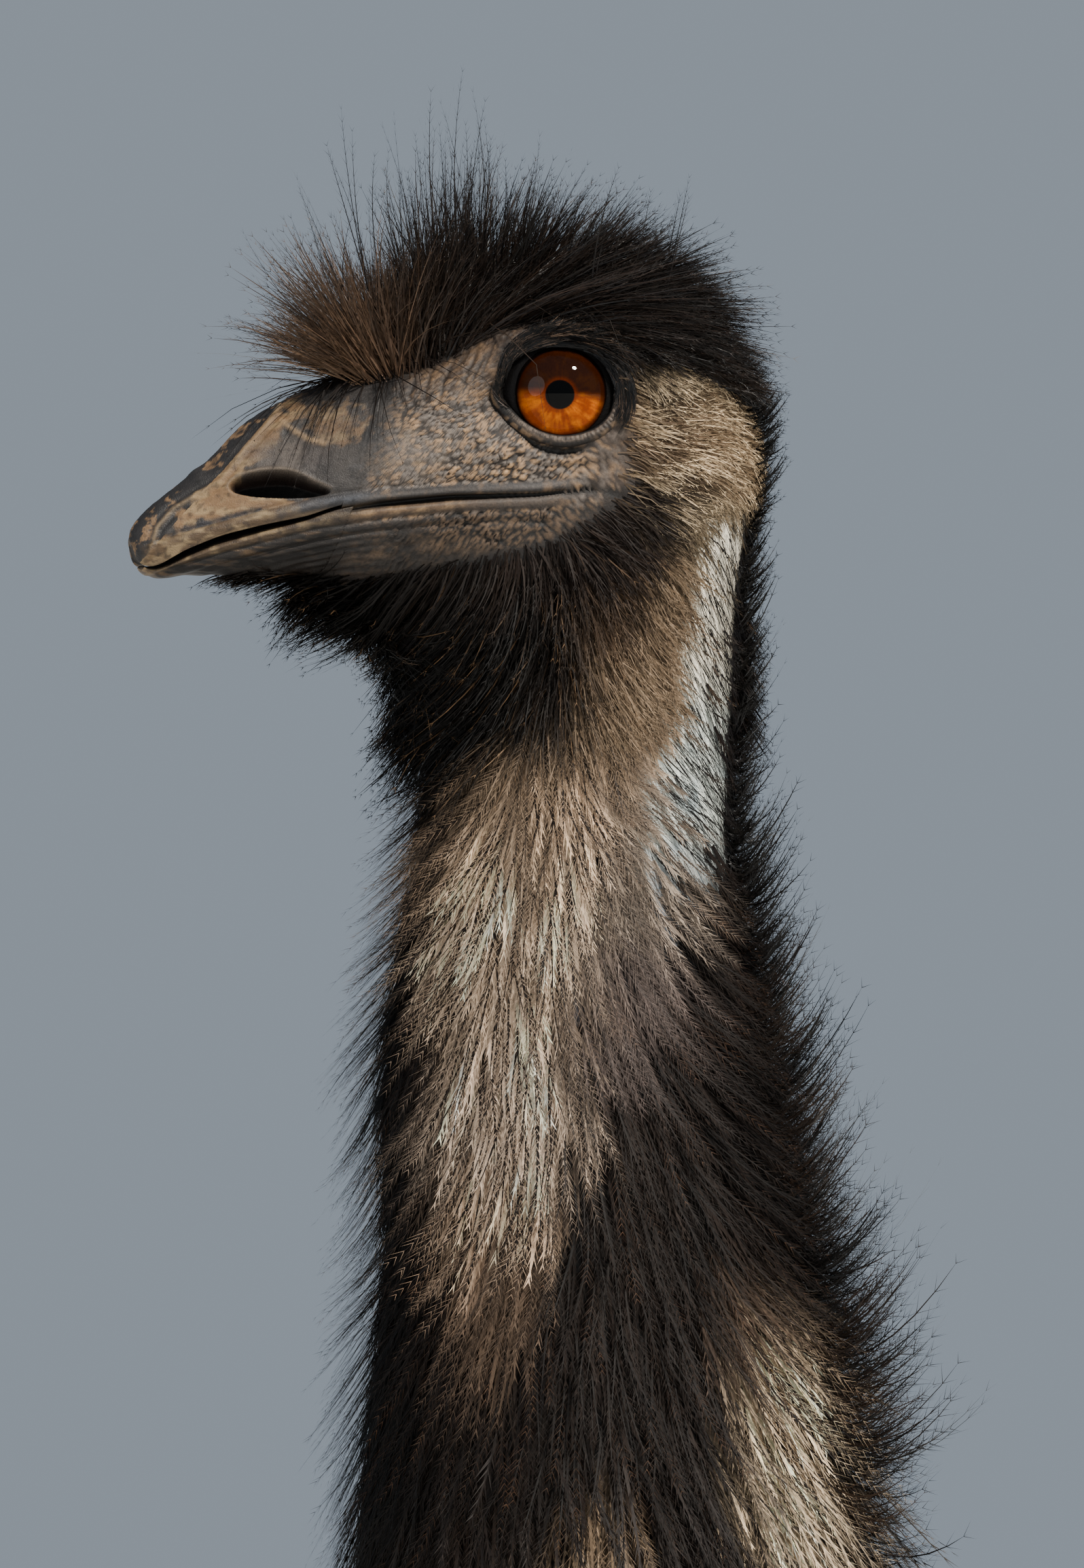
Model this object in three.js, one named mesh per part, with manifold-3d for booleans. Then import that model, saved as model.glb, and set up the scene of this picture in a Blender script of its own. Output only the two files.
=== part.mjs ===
// An emu at life size, standing still with its neck upright, for a museum shelf of reusable parts.
// Millimetres, +Z up, the bird faces -Y, its left side is +X, and the floor is z = 0 under its feet.
//
// The body is one lofted surface from bill tip to tail tip. Each station names the two ends of a slanting
// cross-section on the midline, back (dorsal) and throat or belly (ventral), and the widest half-width between
// them. The stations give the outside of the plumage. The surface is parted into bill, head, neck, trunk and tail
// by thin plane cuts. The crest, drumsticks, shanks, toes, claws, wings and eyes are pieces of their own.
import * as THREE from "three";
import { mergeVertices } from "three/addons/utils/BufferGeometryUtils.js";
import Module from "manifold-3d";

const wasm = await Module();
wasm.setup();

// ---------- driving sizes ----------
const FORE_AFT = -342.7; // puts the middle of the bird's length over the origin
const CUT = 0.36; // width of the thin cuts between parts of one loft
const GAP = 0.35; // play round a piece let into its neighbour
const MOUTH_GAPE = 1.1; // height of the slit between the closed halves of the bill
const LOWER_BILL_SHARE = 0.93; // the lower half of the bill is a little narrower than the upper

const EYE_RADIUS = 15.5;
const EYE_CENTRE = [18.6, -6.9, 1656.3]; // left eye, before FORE_AFT
const NOSTRIL_CENTRE = [13.4, -81.0, 1633.5];
const NOSTRIL_HALF = [4.2, 12.0, 3.1];

const HOCK_HEIGHT = 442;
const FOOT_ROOT_Y = 352; // where the right leg meets the floor, before FORE_AFT
const STEP = 46; // the left foot stands this far ahead of the right one
const LEG_SPREAD = 94; // from the midline to each foot
const TOE = {
  middle: { length: 134, turn: 2, width: 16.5, height: 29, claw: 27 },
  inner: { length: 92, turn: -27, width: 13.5, height: 24, claw: 22 },
  outer: { length: 94, turn: 31, width: 13.5, height: 24, claw: 21 },
};

// ---------- the body loft ----------
// name, dorsal [y, z], ventral [y, z], half-width, share of the height where it is widest,
// roundness below and above that (2 is an ellipse, more is boxier, less is more pointed), share where the mouth runs
const STATIONS = [
  ["bill_tip", [-117.4, 1618.6], [-117.1, 1615.8], 1.4, 0.45, 2.0, 1.9, 0.1],
  ["bill_nail", [-116.3, 1622.0], [-115.2, 1611.0], 4.2, 0.42, 2.2, 1.7, 0.1],
  ["bill_hook", [-112.3, 1626.4], [-111.6, 1608.7], 6.5, 0.38, 2.3, 1.55, 0.13],
  ["bill_front", [-105.2, 1631.9], [-105.2, 1608.8], 8.9, 0.34, 2.4, 1.5, 0.23],
  ["bill_bump", [-96.4, 1638.8], [-98.8, 1609.2], 11.0, 0.33, 2.5, 1.5, 0.27],
  ["bill_nostril", [-87.7, 1647.4], [-93.0, 1609.4], 13.0, 0.32, 2.6, 1.5, 0.26],
  ["bill_mid", [-78.0, 1653.6], [-86.3, 1609.4], 14.9, 0.33, 2.6, 1.55, 0.27],
  ["bill_rear", [-66.4, 1658.2], [-79.0, 1609.2], 17.2, 0.35, 2.5, 1.7, 0.288],
  ["face_front", [-52.6, 1661.9], [-71.9, 1606.2], 20.2, 0.42, 2.4, 1.9, 0.345],
  ["lore", [-39.7, 1667.3], [-63.3, 1592.7], 23.6, 0.55, 2.3, 2.0, 0.4],
  ["brow_front", [-25.8, 1675.0], [-56.3, 1585.7], 26.6, 0.62, 2.2, 2.1, 0.4],
  ["brow", [-11.1, 1681.3], [-50.7, 1579.6], 29.2, 0.68, 2.1, 2.2, 0.4],
  ["eye", [3.7, 1684.1], [-47.6, 1574.0], 30.8, 0.7, 2.1, 2.25, 0.4],
  ["crown", [18.4, 1684.1], [-46.5, 1568.2], 32.0, 0.7, 2.1, 2.25, 0.4],
  ["crown_rear", [32.3, 1678.7], [-46.1, 1562.9], 33.0, 0.67, 2.1, 2.2, 0.4],
  ["occiput_top", [44.3, 1668.7], [-46.1, 1558.2], 33.5, 0.62, 2.1, 2.1, 0.4],
  ["occiput", [52.0, 1655.0], [-46.1, 1553.6], 34.5, 0.58, 2.1, 2.1, 0.4],
  ["occiput_low", [55.0, 1641.0], [-46.5, 1548.9], 35.6, 0.55, 2.1, 2.1, 0.4],
  ["nape_top", [53.9, 1626.1], [-47.0, 1543.6], 36.6, 0.53, 2.1, 2.05, 0.4],
  ["neck_a", [53.1, 1609.4], [-48.3, 1536.6], 37.5, 0.52, 2.1, 2.0, 0.4],
  ["neck_b", [53.5, 1589.2], [-50.7, 1527.0], 39.0, 0.51, 2.1, 2.0, 0.4],
  ["neck_c", [54.6, 1565.5], [-54.1, 1512.9], 42.0, 0.5, 2.1, 2.0, 0.4],
  ["neck_d", [58.7, 1535.7], [-57.4, 1495.4], 46.0, 0.5, 2.1, 2.0, 0.4],
  ["neck_e", [66.8, 1502.4], [-59.4, 1474.3], 50.0, 0.5, 2.1, 2.0, 0.4],
  ["neck_f", [76.6, 1469.1], [-58.3, 1452.4], 54.0, 0.5, 2.1, 2.0, 0.4],
  ["neck_g", [86.7, 1438.4], [-56.1, 1428.7], 58.0, 0.5, 2.1, 2.0, 0.4],
  ["neck_h", [95.9, 1409.4], [-56.5, 1404.0], 63.0, 0.5, 2.1, 2.0, 0.4],
  ["neck_i", [102.8, 1381.0], [-60.0, 1374.0], 69.0, 0.5, 2.1, 2.0, 0.4],
  ["neck_j", [109.0, 1350.0], [-66.4, 1338.0], 77.0, 0.5, 2.1, 2.0, 0.4],
  ["neck_root", [120.0, 1300.0], [-80.0, 1262.0], 90.0, 0.5, 2.1, 2.0, 0.4],
  ["shoulder", [140.0, 1238.0], [-96.0, 1160.0], 112.0, 0.49, 2.1, 2.0, 0.4],
  ["breast_top", [176.0, 1176.0], [-106.0, 1052.0], 140.0, 0.48, 2.1, 2.0, 0.4],
  ["breast", [236.0, 1118.0], [-96.0, 938.0], 170.0, 0.47, 2.1, 1.95, 0.4],
  ["breast_low", [318.0, 1092.0], [-48.0, 826.0], 194.0, 0.46, 2.2, 1.9, 0.4],
  ["back", [408.0, 1082.0], [44.0, 734.0], 208.0, 0.45, 2.3, 1.9, 0.4],
  ["loin", [498.0, 1064.0], [158.0, 676.0], 212.0, 0.44, 2.3, 1.9, 0.4],
  ["rump_top", [580.0, 1028.0], [290.0, 648.0], 204.0, 0.43, 2.3, 1.9, 0.4],
  ["rump", [654.0, 974.0], [424.0, 640.0], 184.0, 0.42, 2.3, 1.9, 0.4],
  ["tail_root", [712.0, 908.0], [546.0, 642.0], 154.0, 0.41, 2.3, 1.9, 0.4],
  ["tail_mid", [754.0, 838.0], [646.0, 648.0], 114.0, 0.4, 2.2, 1.9, 0.4],
  ["tail_low", [784.0, 776.0], [722.0, 656.0], 72.0, 0.4, 2.1, 1.9, 0.4],
  ["tail_end", [798.0, 728.0], [772.0, 672.0], 34.0, 0.42, 2.0, 2.0, 0.4],
  ["tail_tip", [803.0, 700.0], [798.0, 688.0], 8.0, 0.45, 2.0, 2.0, 0.4],
];
const at = (name) => STATIONS.findIndex((s) => s[0] === name);

// The crest of loose feathers over the forehead and crown: stations as above, from the front edge back.
const CREST = [
  [[-87.0, 1661.5], [-79.5, 1655.0], 5.0],
  [[-87.6, 1671.0], [-71.9, 1652.0], 13.0],
  [[-82.4, 1682.0], [-60.9, 1652.0], 19.0],
  [[-73.0, 1693.8], [-49.8, 1651.0], 23.5],
  [[-59.2, 1705.0], [-38.7, 1651.0], 27.5],
  [[-42.5, 1713.0], [-27.7, 1652.0], 30.5],
  [[-24.0, 1715.4], [-16.6, 1652.0], 32.0],
  [[-5.5, 1712.0], [-5.5, 1652.0], 33.0],
  [[12.9, 1707.0], [5.5, 1652.0], 33.5],
  [[29.0, 1698.8], [15.7, 1652.0], 33.5],
  [[41.0, 1687.0], [24.0, 1650.0], 32.5],
  [[49.5, 1673.0], [29.5, 1647.0], 30.5],
  [[54.5, 1659.0], [33.2, 1644.0], 27.0],
];

// ---------- curves ----------
// A value carried smoothly through evenly numbered stations.
function through(values, t) {
  const n = values.length - 1;
  const i = Math.min(n - 1, Math.max(0, Math.floor(t)));
  const u = t - i;
  const b = values[i];
  const c = values[i + 1];
  const a = i > 0 ? values[i - 1] : 2 * b - c;
  const d = i < n - 1 ? values[i + 2] : 2 * c - b;
  return 0.5 * (2 * b + (c - a) * u + (2 * a - 5 * b + 4 * c - d) * u * u + (3 * b - a - 3 * c + d) * u * u * u);
}
const power = (v, p) => Math.sign(v) * Math.abs(v) ** p;

// One cross-section of the body loft at station number t.
function section(t) {
  const pick = (k, j) => through(STATIONS.map((s) => (j === undefined ? s[k] : s[k][j])), t);
  return {
    dorsal: new THREE.Vector3(0, pick(1, 0) + FORE_AFT, pick(1, 1)),
    ventral: new THREE.Vector3(0, pick(2, 0) + FORE_AFT, pick(2, 1)),
    half: pick(3),
    widest: pick(4),
    below: pick(5),
    above: pick(6),
    mouth: pick(7),
  };
}
// The point of a section at angle a: 0 is the belly, half a turn the back, and the left side lies between.
function onSection(s, a, grow = 0, share = 1) {
  const c = -Math.cos(a);
  const n = c < 0 ? s.below : s.above;
  const height = power(c, 2 / n);
  const up = height < 0 ? s.widest * (1 + height) : s.widest + (1 - s.widest) * height;
  const chord = s.dorsal.clone().sub(s.ventral);
  const p = s.ventral.clone().addScaledVector(chord, up);
  p.addScaledVector(chord.normalize(), grow * c);
  p.x = (s.half + grow) * share * power(Math.sin(a), 2 / n);
  return p;
}
const normalOf = (s) => new THREE.Vector3(1, 0, 0).cross(s.dorsal.clone().sub(s.ventral)).normalize();

// ---------- solids ----------
// A closed geometry through rings of equal size, with a fan over each end.
function skinOver(rings) {
  const n = rings[0].length;
  const pos = [];
  for (const ring of rings) for (const p of ring) pos.push(p.x, p.y, p.z);
  const cap = (ring) => {
    const m = ring.reduce((s, p) => s.add(p), new THREE.Vector3()).divideScalar(n);
    pos.push(m.x, m.y, m.z);
    return pos.length / 3 - 1;
  };
  const first = cap(rings[0]);
  const last = cap(rings[rings.length - 1]);
  const index = [];
  for (let i = 0; i + 1 < rings.length; i++)
    for (let j = 0; j < n; j++) {
      const k = (j + 1) % n;
      const [a, b, c, d] = [i * n + j, i * n + k, (i + 1) * n + k, (i + 1) * n + j];
      if ((i + j) % 2) index.push(a, b, c, a, c, d);
      else index.push(a, b, d, b, c, d);
    }
  for (let j = 0; j < n; j++) {
    const k = (j + 1) % n;
    index.push(first, k, j);
    index.push(last, (rings.length - 1) * n + j, (rings.length - 1) * n + k);
  }
  const g = new THREE.BufferGeometry();
  g.setAttribute("position", new THREE.Float32BufferAttribute(pos, 3));
  g.setIndex(index);
  // turn the faces outwards
  let volume = 0;
  for (let i = 0; i < index.length; i += 3) {
    const [p, q, r] = [0, 1, 2].map((k) => new THREE.Vector3().fromArray(pos, 3 * index[i + k]));
    volume += p.dot(q.cross(r));
  }
  if (volume < 0) {
    for (let i = 0; i < index.length; i += 3) [index[i + 1], index[i + 2]] = [index[i + 2], index[i + 1]];
    g.setIndex(index);
  }
  return g;
}
function toSolid(geometry) {
  const g = geometry.clone();
  for (const name of Object.keys(g.attributes)) if (name !== "position") g.deleteAttribute(name);
  const m = mergeVertices(g, 1e-3);
  return new wasm.Manifold(
    new wasm.Mesh({
      numProp: 3,
      vertProperties: new Float32Array(m.attributes.position.array),
      triVerts: new Uint32Array(m.index.array),
    }),
  );
}
// The largest body of a solid, as a geometry.
function toGeometry(solid) {
  const main = solid.decompose().sort((a, b) => b.volume() - a.volume())[0];
  const mesh = main.getMesh();
  const v = new Float32Array(mesh.numVert * 3);
  for (let i = 0; i < mesh.numVert; i++) v.set(mesh.vertProperties.subarray(i * mesh.numProp, i * mesh.numProp + 3), 3 * i);
  const g = new THREE.BufferGeometry();
  g.setAttribute("position", new THREE.BufferAttribute(v, 3));
  g.setIndex(new THREE.BufferAttribute(new Uint32Array(mesh.triVerts), 1));
  return g;
}

// A length of the body loft from station t0 to t1, drawn back from each cut by half its width.
function bodyLength(t0, t1, steps, around, grow = 0) {
  const rings = [];
  for (let i = 0; i <= steps; i++) {
    const t = t0 + ((t1 - t0) * i) / steps;
    const s = section(t);
    const ring = [];
    for (let j = 0; j < around; j++) ring.push(onSection(s, (2 * Math.PI * (j + 0.0)) / around, grow));
    const shift = i === 0 ? CUT / 2 : i === steps ? -CUT / 2 : 0;
    const n = normalOf(s);
    const along = section(Math.min(t + 0.01, STATIONS.length - 1)).dorsal.sub(section(Math.max(0, t - 0.01)).dorsal);
    if (along.dot(n) < 0) n.negate();
    for (const p of ring) p.addScaledVector(n, shift);
    rings.push(ring);
  }
  return skinOver(rings);
}

// One half of the bill: the arc of each section above or below the mouth line, closed by a flat palate.
function billHalf(upper, t0, t1, steps, around, grow = 0) {
  const rings = [];
  for (let i = 0; i <= steps; i++) {
    const t = t0 + ((t1 - t0) * i) / steps;
    const s = section(t);
    const tall = s.dorsal.distanceTo(s.ventral);
    const slit = s.mouth + (((upper ? 0.5 : -0.5) * MOUTH_GAPE) / tall) * Math.min(1, t / 2.5);
    // the angle whose height share is the slit
    const h = slit < s.widest ? slit / s.widest - 1 : (slit - s.widest) / (1 - s.widest);
    const a0 = Math.acos(-power(h, (h < 0 ? s.below : s.above) / 2));
    const ring = [];
    for (let j = 0; j < around; j++) {
      const u = j / (around - 1);
      const a = upper ? a0 + (2 * Math.PI - 2 * a0) * u : -a0 + 2 * a0 * u;
      ring.push(onSection(s, a, grow, upper ? 1 : LOWER_BILL_SHARE));
    }
    if (i === steps) {
      const n = normalOf(s);
      if (n.y < 0) n.negate();
      for (const p of ring) p.addScaledVector(n, -CUT / 2);
    }
    rings.push(ring);
  }
  return skinOver(rings);
}

// A solid through level or given rings: each row is [centre, half-width across, half-width fore and aft].
function limb(rows, around, grow = 0, floor = false) {
  const values = (f) => rows.map(f);
  const steps = (rows.length - 1) * 2;
  const rings = [];
  for (let i = 0; i <= steps; i++) {
    const t = i / 2;
    const [x, y, z] = [0, 1, 2].map((k) => through(values((r) => r[0][k]), t));
    const rx = through(values((r) => r[1]), t) + grow;
    const ry = through(values((r) => r[2]), t) + grow;
    const lift = i === 0 ? grow : i === steps ? (floor ? 0 : -grow) : 0;
    const ring = [];
    for (let j = 0; j < around; j++) {
      const a = (2 * Math.PI * j) / around;
      ring.push(new THREE.Vector3(x + rx * Math.cos(a), y + ry * Math.sin(a), z + lift));
    }
    rings.push(ring);
  }
  return skinOver(rings);
}

// ---------- legs ----------
const LEG_AROUND = 14;
const SHANK_AROUND = 10;
function legRows(side) {
  const fy = FOOT_ROOT_Y + FORE_AFT - (side > 0 ? STEP : 0);
  const hy = fy + 60;
  const x = (v) => side * v;
  const X = LEG_SPREAD;
  const shank = [
    [[x(X + 7), hy - 8, 492], 21, 25],
    [[x(X + 6), hy, HOCK_HEIGHT + 8], 24, 30],
    [[x(X + 5), hy - 1, HOCK_HEIGHT - 34], 19.5, 25],
    [[x(X + 4), hy - 10, 352], 15.5, 20],
    [[x(X + 3), hy - 26, 262], 14, 18],
    [[x(X + 2), hy - 42, 172], 14, 17.5],
    [[x(X + 1), hy - 54, 98], 16.5, 19],
    [[x(X), fy + 1, 48], 21.5, 23],
    [[x(X), fy + 2, 20], 22, 24],
    [[x(X), fy + 3, 0], 18, 20],
  ];
  const top = (FOOT_ROOT_Y + FORE_AFT - (side > 0 ? STEP * 0.35 : 0)) - 66;
  const drumstick = [
    [[x(118), top, 806], 62, 96],
    [[x(120), top + 10, 738], 66, 100],
    [[x(118), top + 28, 672], 60, 90],
    [[x(113), (top + hy) / 2 - 6, 612], 50, 71],
    [[x(108), (top + 2 * hy) / 3 - 4, 560], 40, 54],
    [[x(104), hy - 14, 512], 32, 41],
    [[x(X + 7), hy - 4, 470], 27, 33.5],
  ];
  return { shank, drumstick, fy };
}

// A toe, or with tip its claw, lying forward of the foot root. Its sole is flat on the floor.
function toeRings(side, fy, toe, claw) {
  const turn = THREE.MathUtils.degToRad(toe.turn) * side;
  const ahead = new THREE.Vector3(Math.sin(turn), -Math.cos(turn), 0);
  const across = new THREE.Vector3(-ahead.y, ahead.x, 0);
  const root = new THREE.Vector3(side * LEG_SPREAD, fy, 0);
  const rings = [];
  const steps = claw ? 4 : 8;
  const around = claw ? 7 : 10;
  for (let i = 0; i <= steps; i++) {
    const u = i / steps;
    const reach = claw ? toe.length + 0.45 + toe.claw * u : toe.length * u;
    const pads = 1 + 0.055 * Math.sin(u * Math.PI * (toe.length > 120 ? 6 : 4) + 0.6);
    const w = claw ? toe.width * 0.5 * (1 - u) ** 0.72 + 0.5 : toe.width * (1 - 0.36 * u * u) * pads * (u > 0.96 ? 0.84 : 1);
    const h = claw ? toe.height * 0.42 * (1 - u) ** 0.8 + 0.9 : toe.height * (1 - 0.52 * u ** 0.85) * (1 + 0.6 * (pads - 1));
    const sole = claw ? 1.2 + 2.0 * (1 - u) : 0;
    const ring = [];
    for (let j = 0; j < around; j++) {
      const a = (2 * Math.PI * j) / around;
      const z = claw ? sole + h * 0.5 * (1 + Math.sin(a)) : Math.max(0, h * 0.42 + h * 0.58 * power(Math.sin(a), 0.9));
      const p = root.clone().addScaledVector(ahead, reach).addScaledVector(across, w * power(Math.cos(a), 0.9));
      p.z = z;
      ring.push(p);
    }
    rings.push(ring);
  }
  return rings;
}

// ---------- wings ----------
// The stub of a wing, a slim drop lying along the side of the breast.
function wing(side, grow) {
  const g = new THREE.SphereGeometry(1, 12, 7);
  g.scale(21 + grow, 112 + grow, 40 + grow);
  g.rotateX(THREE.MathUtils.degToRad(26));
  g.rotateZ(THREE.MathUtils.degToRad(-side * 15));
  g.translate(side * 160, 190 + FORE_AFT, 946);
  return g;
}

// ---------- the crest ----------
const CREST_AROUND = 20;
function crestLoft() {
  const rings = [];
  const steps = 12;
  for (let i = 0; i <= steps; i++) {
    const t = ((CREST.length - 1) * i) / steps;
    const v = (k, j) => through(CREST.map((s) => (j === undefined ? s[k] : s[k][j])), t);
    const s = {
      dorsal: new THREE.Vector3(0, v(0, 0) + FORE_AFT, v(0, 1)),
      ventral: new THREE.Vector3(0, v(1, 0) + FORE_AFT, v(1, 1)),
      half: v(2),
      widest: 0.36,
      below: 2,
      above: 2.15,
    };
    const ring = [];
    for (let j = 0; j < CREST_AROUND; j++) ring.push(onSection(s, (2 * Math.PI * j) / CREST_AROUND));
    rings.push(ring);
  }
  return skinOver(rings);
}

// ---------- materials ----------
const material = (name, color, roughness) => {
  const m = new THREE.MeshStandardMaterial({ color, roughness, metalness: 0 });
  m.name = name;
  return m;
};
const PLUMAGE_DARK = material("plumage_dark", 0x1d1814, 0.75);
const PLUMAGE_NECK = material("plumage_neck", 0x4a4038, 0.75);
const PLUMAGE_BODY = material("plumage_body", 0x5a4c40, 0.8);
const HORN = material("bill_horn", 0x4b4239, 0.45);
const IRIS = material("eye_amber", 0xb4500a, 0.08);
const SCALES = material("leg_scales", 0x4b443d, 0.6);
const CLAW = material("claw_horn", 0x24201d, 0.4);

const emu = new THREE.Group();
emu.name = "emu";
function add(name, geometry, mat) {
  const mesh = new THREE.Mesh(geometry, mat);
  mesh.name = name;
  emu.add(mesh);
}
const solidOfRings = (rings) => toSolid(skinOver(rings));

// eyes, in sockets of the head
const eyeAt = (side, grow) => {
  const g = new THREE.SphereGeometry(EYE_RADIUS + grow, 14, 8);
  g.rotateZ(Math.PI / 2);
  g.translate(side * EYE_CENTRE[0], EYE_CENTRE[1] + FORE_AFT, EYE_CENTRE[2]);
  return g;
};
add("eye_left", eyeAt(1, 0), IRIS);
add("eye_right", eyeAt(-1, 0), IRIS);

// bill: its rear end is where the bare face begins
const BILL_END = at("face_front");
let upperBill = toSolid(billHalf(true, 0, BILL_END, 12, 17));
for (const side of [1, -1]) {
  const hole = new THREE.SphereGeometry(1, 8, 6);
  hole.scale(...NOSTRIL_HALF);
  hole.rotateX(THREE.MathUtils.degToRad(-4));
  hole.rotateZ(THREE.MathUtils.degToRad(-side * 9));
  hole.translate(side * NOSTRIL_CENTRE[0], NOSTRIL_CENTRE[1] + FORE_AFT, NOSTRIL_CENTRE[2]);
  upperBill = upperBill.subtract(toSolid(hole));
}
add("bill_upper", toGeometry(upperBill), HORN);
add("bill_lower", billHalf(false, 1.7, BILL_END, 9, 12), HORN);

// head, neck, trunk and tail
const HEAD_END = at("nape_top") + 0.4;
const HEAD_STEPS = 14;
const HEAD_AROUND = 28;
let head = toSolid(bodyLength(BILL_END, HEAD_END, HEAD_STEPS, HEAD_AROUND));
for (const side of [1, -1]) head = head.subtract(toSolid(eyeAt(side, GAP)));
add("head", toGeometry(head), PLUMAGE_NECK);
add("neck_upper", bodyLength(HEAD_END, at("neck_e"), 5, 24), PLUMAGE_NECK);
add("neck_middle", bodyLength(at("neck_e"), at("neck_h") + 0.3, 4, 24), PLUMAGE_NECK);
add("neck_lower", bodyLength(at("neck_h") + 0.3, at("shoulder") - 0.2, 4, 26), PLUMAGE_NECK);

const legs = { left: legRows(1), right: legRows(-1) };
let trunk = toSolid(bodyLength(at("shoulder") - 0.2, at("tail_root") - 0.3, 12, 26));
for (const [name, side] of [["left", 1], ["right", -1]]) {
  trunk = trunk.subtract(toSolid(limb(legs[name].drumstick, LEG_AROUND, GAP)));
  trunk = trunk.subtract(toSolid(wing(side, GAP)));
}
add("trunk", toGeometry(trunk), PLUMAGE_BODY);
add("tail", bodyLength(at("tail_root") - 0.3, STATIONS.length - 1, 7, 22), PLUMAGE_BODY);
add("wing_left", wing(1, 0), PLUMAGE_BODY);
add("wing_right", wing(-1, 0), PLUMAGE_BODY);

// crest, hollowed by the head and bill that it lies on
let crest = toSolid(crestLoft());
crest = crest.subtract(toSolid(bodyLength(BILL_END, HEAD_END, HEAD_STEPS, HEAD_AROUND, GAP)));
crest = crest.subtract(toSolid(bodyLength(4, BILL_END + 0.2, 8, HEAD_AROUND, GAP + 0.25)));
for (const side of [1, -1]) crest = crest.subtract(toSolid(eyeAt(side, GAP)));
add("crest", toGeometry(crest), PLUMAGE_DARK);

// legs
for (const [name, side] of [["left", 1], ["right", -1]]) {
  const { shank, drumstick, fy } = legs[name];
  const grownShank = toSolid(limb(shank, SHANK_AROUND, GAP, true));
  add(`leg_${name}`, toGeometry(toSolid(limb(drumstick, LEG_AROUND)).subtract(grownShank)), PLUMAGE_BODY);
  add(`shank_${name}`, limb(shank, SHANK_AROUND, 0, true), SCALES);
  const grownToes = [];
  for (const key of ["middle", "inner", "outer"]) {
    let toe = solidOfRings(toeRings(side, fy, TOE[key], false)).subtract(grownShank);
    for (const other of grownToes) toe = toe.subtract(other);
    const wide = { ...TOE[key], width: TOE[key].width + 0.5, height: TOE[key].height + 0.9 };
    grownToes.push(solidOfRings(toeRings(side, fy, wide, false)));
    add(`toe_${key}_${name}`, toGeometry(toe), SCALES);
    add(`claw_${key}_${name}`, skinOver(toeRings(side, fy, TOE[key], true)), CLAW);
  }
}

export default emu;
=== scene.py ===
# An emu at life size, standing still with its neck upright.
# Millimetres are used while shapes are worked out, and metres in the meshes.
# The bird faces -Y, its left side is +X, and the floor is z = 0.
import math

import bpy
import numpy as np
from mathutils import Matrix, Vector


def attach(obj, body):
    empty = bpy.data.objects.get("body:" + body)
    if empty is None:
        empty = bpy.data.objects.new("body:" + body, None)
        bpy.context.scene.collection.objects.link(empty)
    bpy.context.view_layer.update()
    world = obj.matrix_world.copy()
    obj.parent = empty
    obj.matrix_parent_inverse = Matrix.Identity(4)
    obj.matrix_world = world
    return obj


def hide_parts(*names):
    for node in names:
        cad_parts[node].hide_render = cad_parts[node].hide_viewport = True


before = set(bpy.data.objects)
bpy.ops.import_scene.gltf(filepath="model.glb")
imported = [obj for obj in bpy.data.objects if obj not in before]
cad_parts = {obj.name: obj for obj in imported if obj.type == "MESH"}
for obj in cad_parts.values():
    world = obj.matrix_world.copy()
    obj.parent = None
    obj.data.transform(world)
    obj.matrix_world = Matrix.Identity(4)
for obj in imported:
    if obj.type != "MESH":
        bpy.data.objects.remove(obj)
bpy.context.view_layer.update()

FORE_AFT = -342.7  # the lofts are worked out from a zero at the eye; this puts them in the row's frame
rng = np.random.default_rng(7)

# ------------------------------------------------------------------ camera geometry, used to place the face's details
TURN = math.radians(18)  # the camera stands this far ahead of square-on to the left side
SIN, COS = math.sin(TURN), math.cos(TURN)
PX = 5.7  # picture pixels a millimetre at the middle of the head
FAR = 6000.0  # millimetres from the camera to the middle of the head
EYE_LINE = 1478.0  # height of the camera


def picture(P):
    """Where a point is seen, in pixels of the picture. The right side is folded onto the left, so both get the same details."""
    x, y, z = np.abs(P[..., 0]), P[..., 1], P[..., 2]
    f = FAR / (FAR - (x * COS - y * SIN))
    horizon = 581 + PX * (1656.6 - EYE_LINE)
    px = 798 + (32 + PX * (x * SIN + y * COS)) * f
    py = horizon + (581 - PX * (z - 1656.6) - horizon) * f
    return px, py


# ------------------------------------------------------------------ small numeric helpers
def srgb(r, g, b):
    c = np.array([r, g, b], float) / 255.0
    return np.where(c <= 0.04045, c / 12.92, ((c + 0.055) / 1.055) ** 2.4)


def step(lo, hi, v):
    t = np.clip((v - lo) / (hi - lo), 0, 1)
    return t * t * (3 - 2 * t)


def mix(a, b, w):
    w = np.asarray(w)
    if np.ndim(a) > 0 and np.shape(a)[-1:] == (3,) or np.ndim(b) > 0 and np.shape(b)[-1:] == (3,):
        w = w[..., None]
    return a + (b - a) * w


def unit(v):
    return v / np.maximum(np.linalg.norm(v, axis=-1, keepdims=True), 1e-12)


def hash3(ix, iy, iz, seed=0):
    """Repeatable numbers from 0 to 1 on a lattice."""
    n = (ix.astype(np.int64) * 73856093) ^ (iy.astype(np.int64) * 19349663) ^ (iz.astype(np.int64) * 83492791) ^ (seed * 2654435761)
    n = n & 0xFFFFFFFF
    n = ((n ^ (n >> 16)) * 0x45D9F3B) & 0xFFFFFFFF
    n = ((n ^ (n >> 16)) * 0x45D9F3B) & 0xFFFFFFFF
    n = n ^ (n >> 16)
    return (n & 0xFFFFFF) / float(0xFFFFFF)


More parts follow.
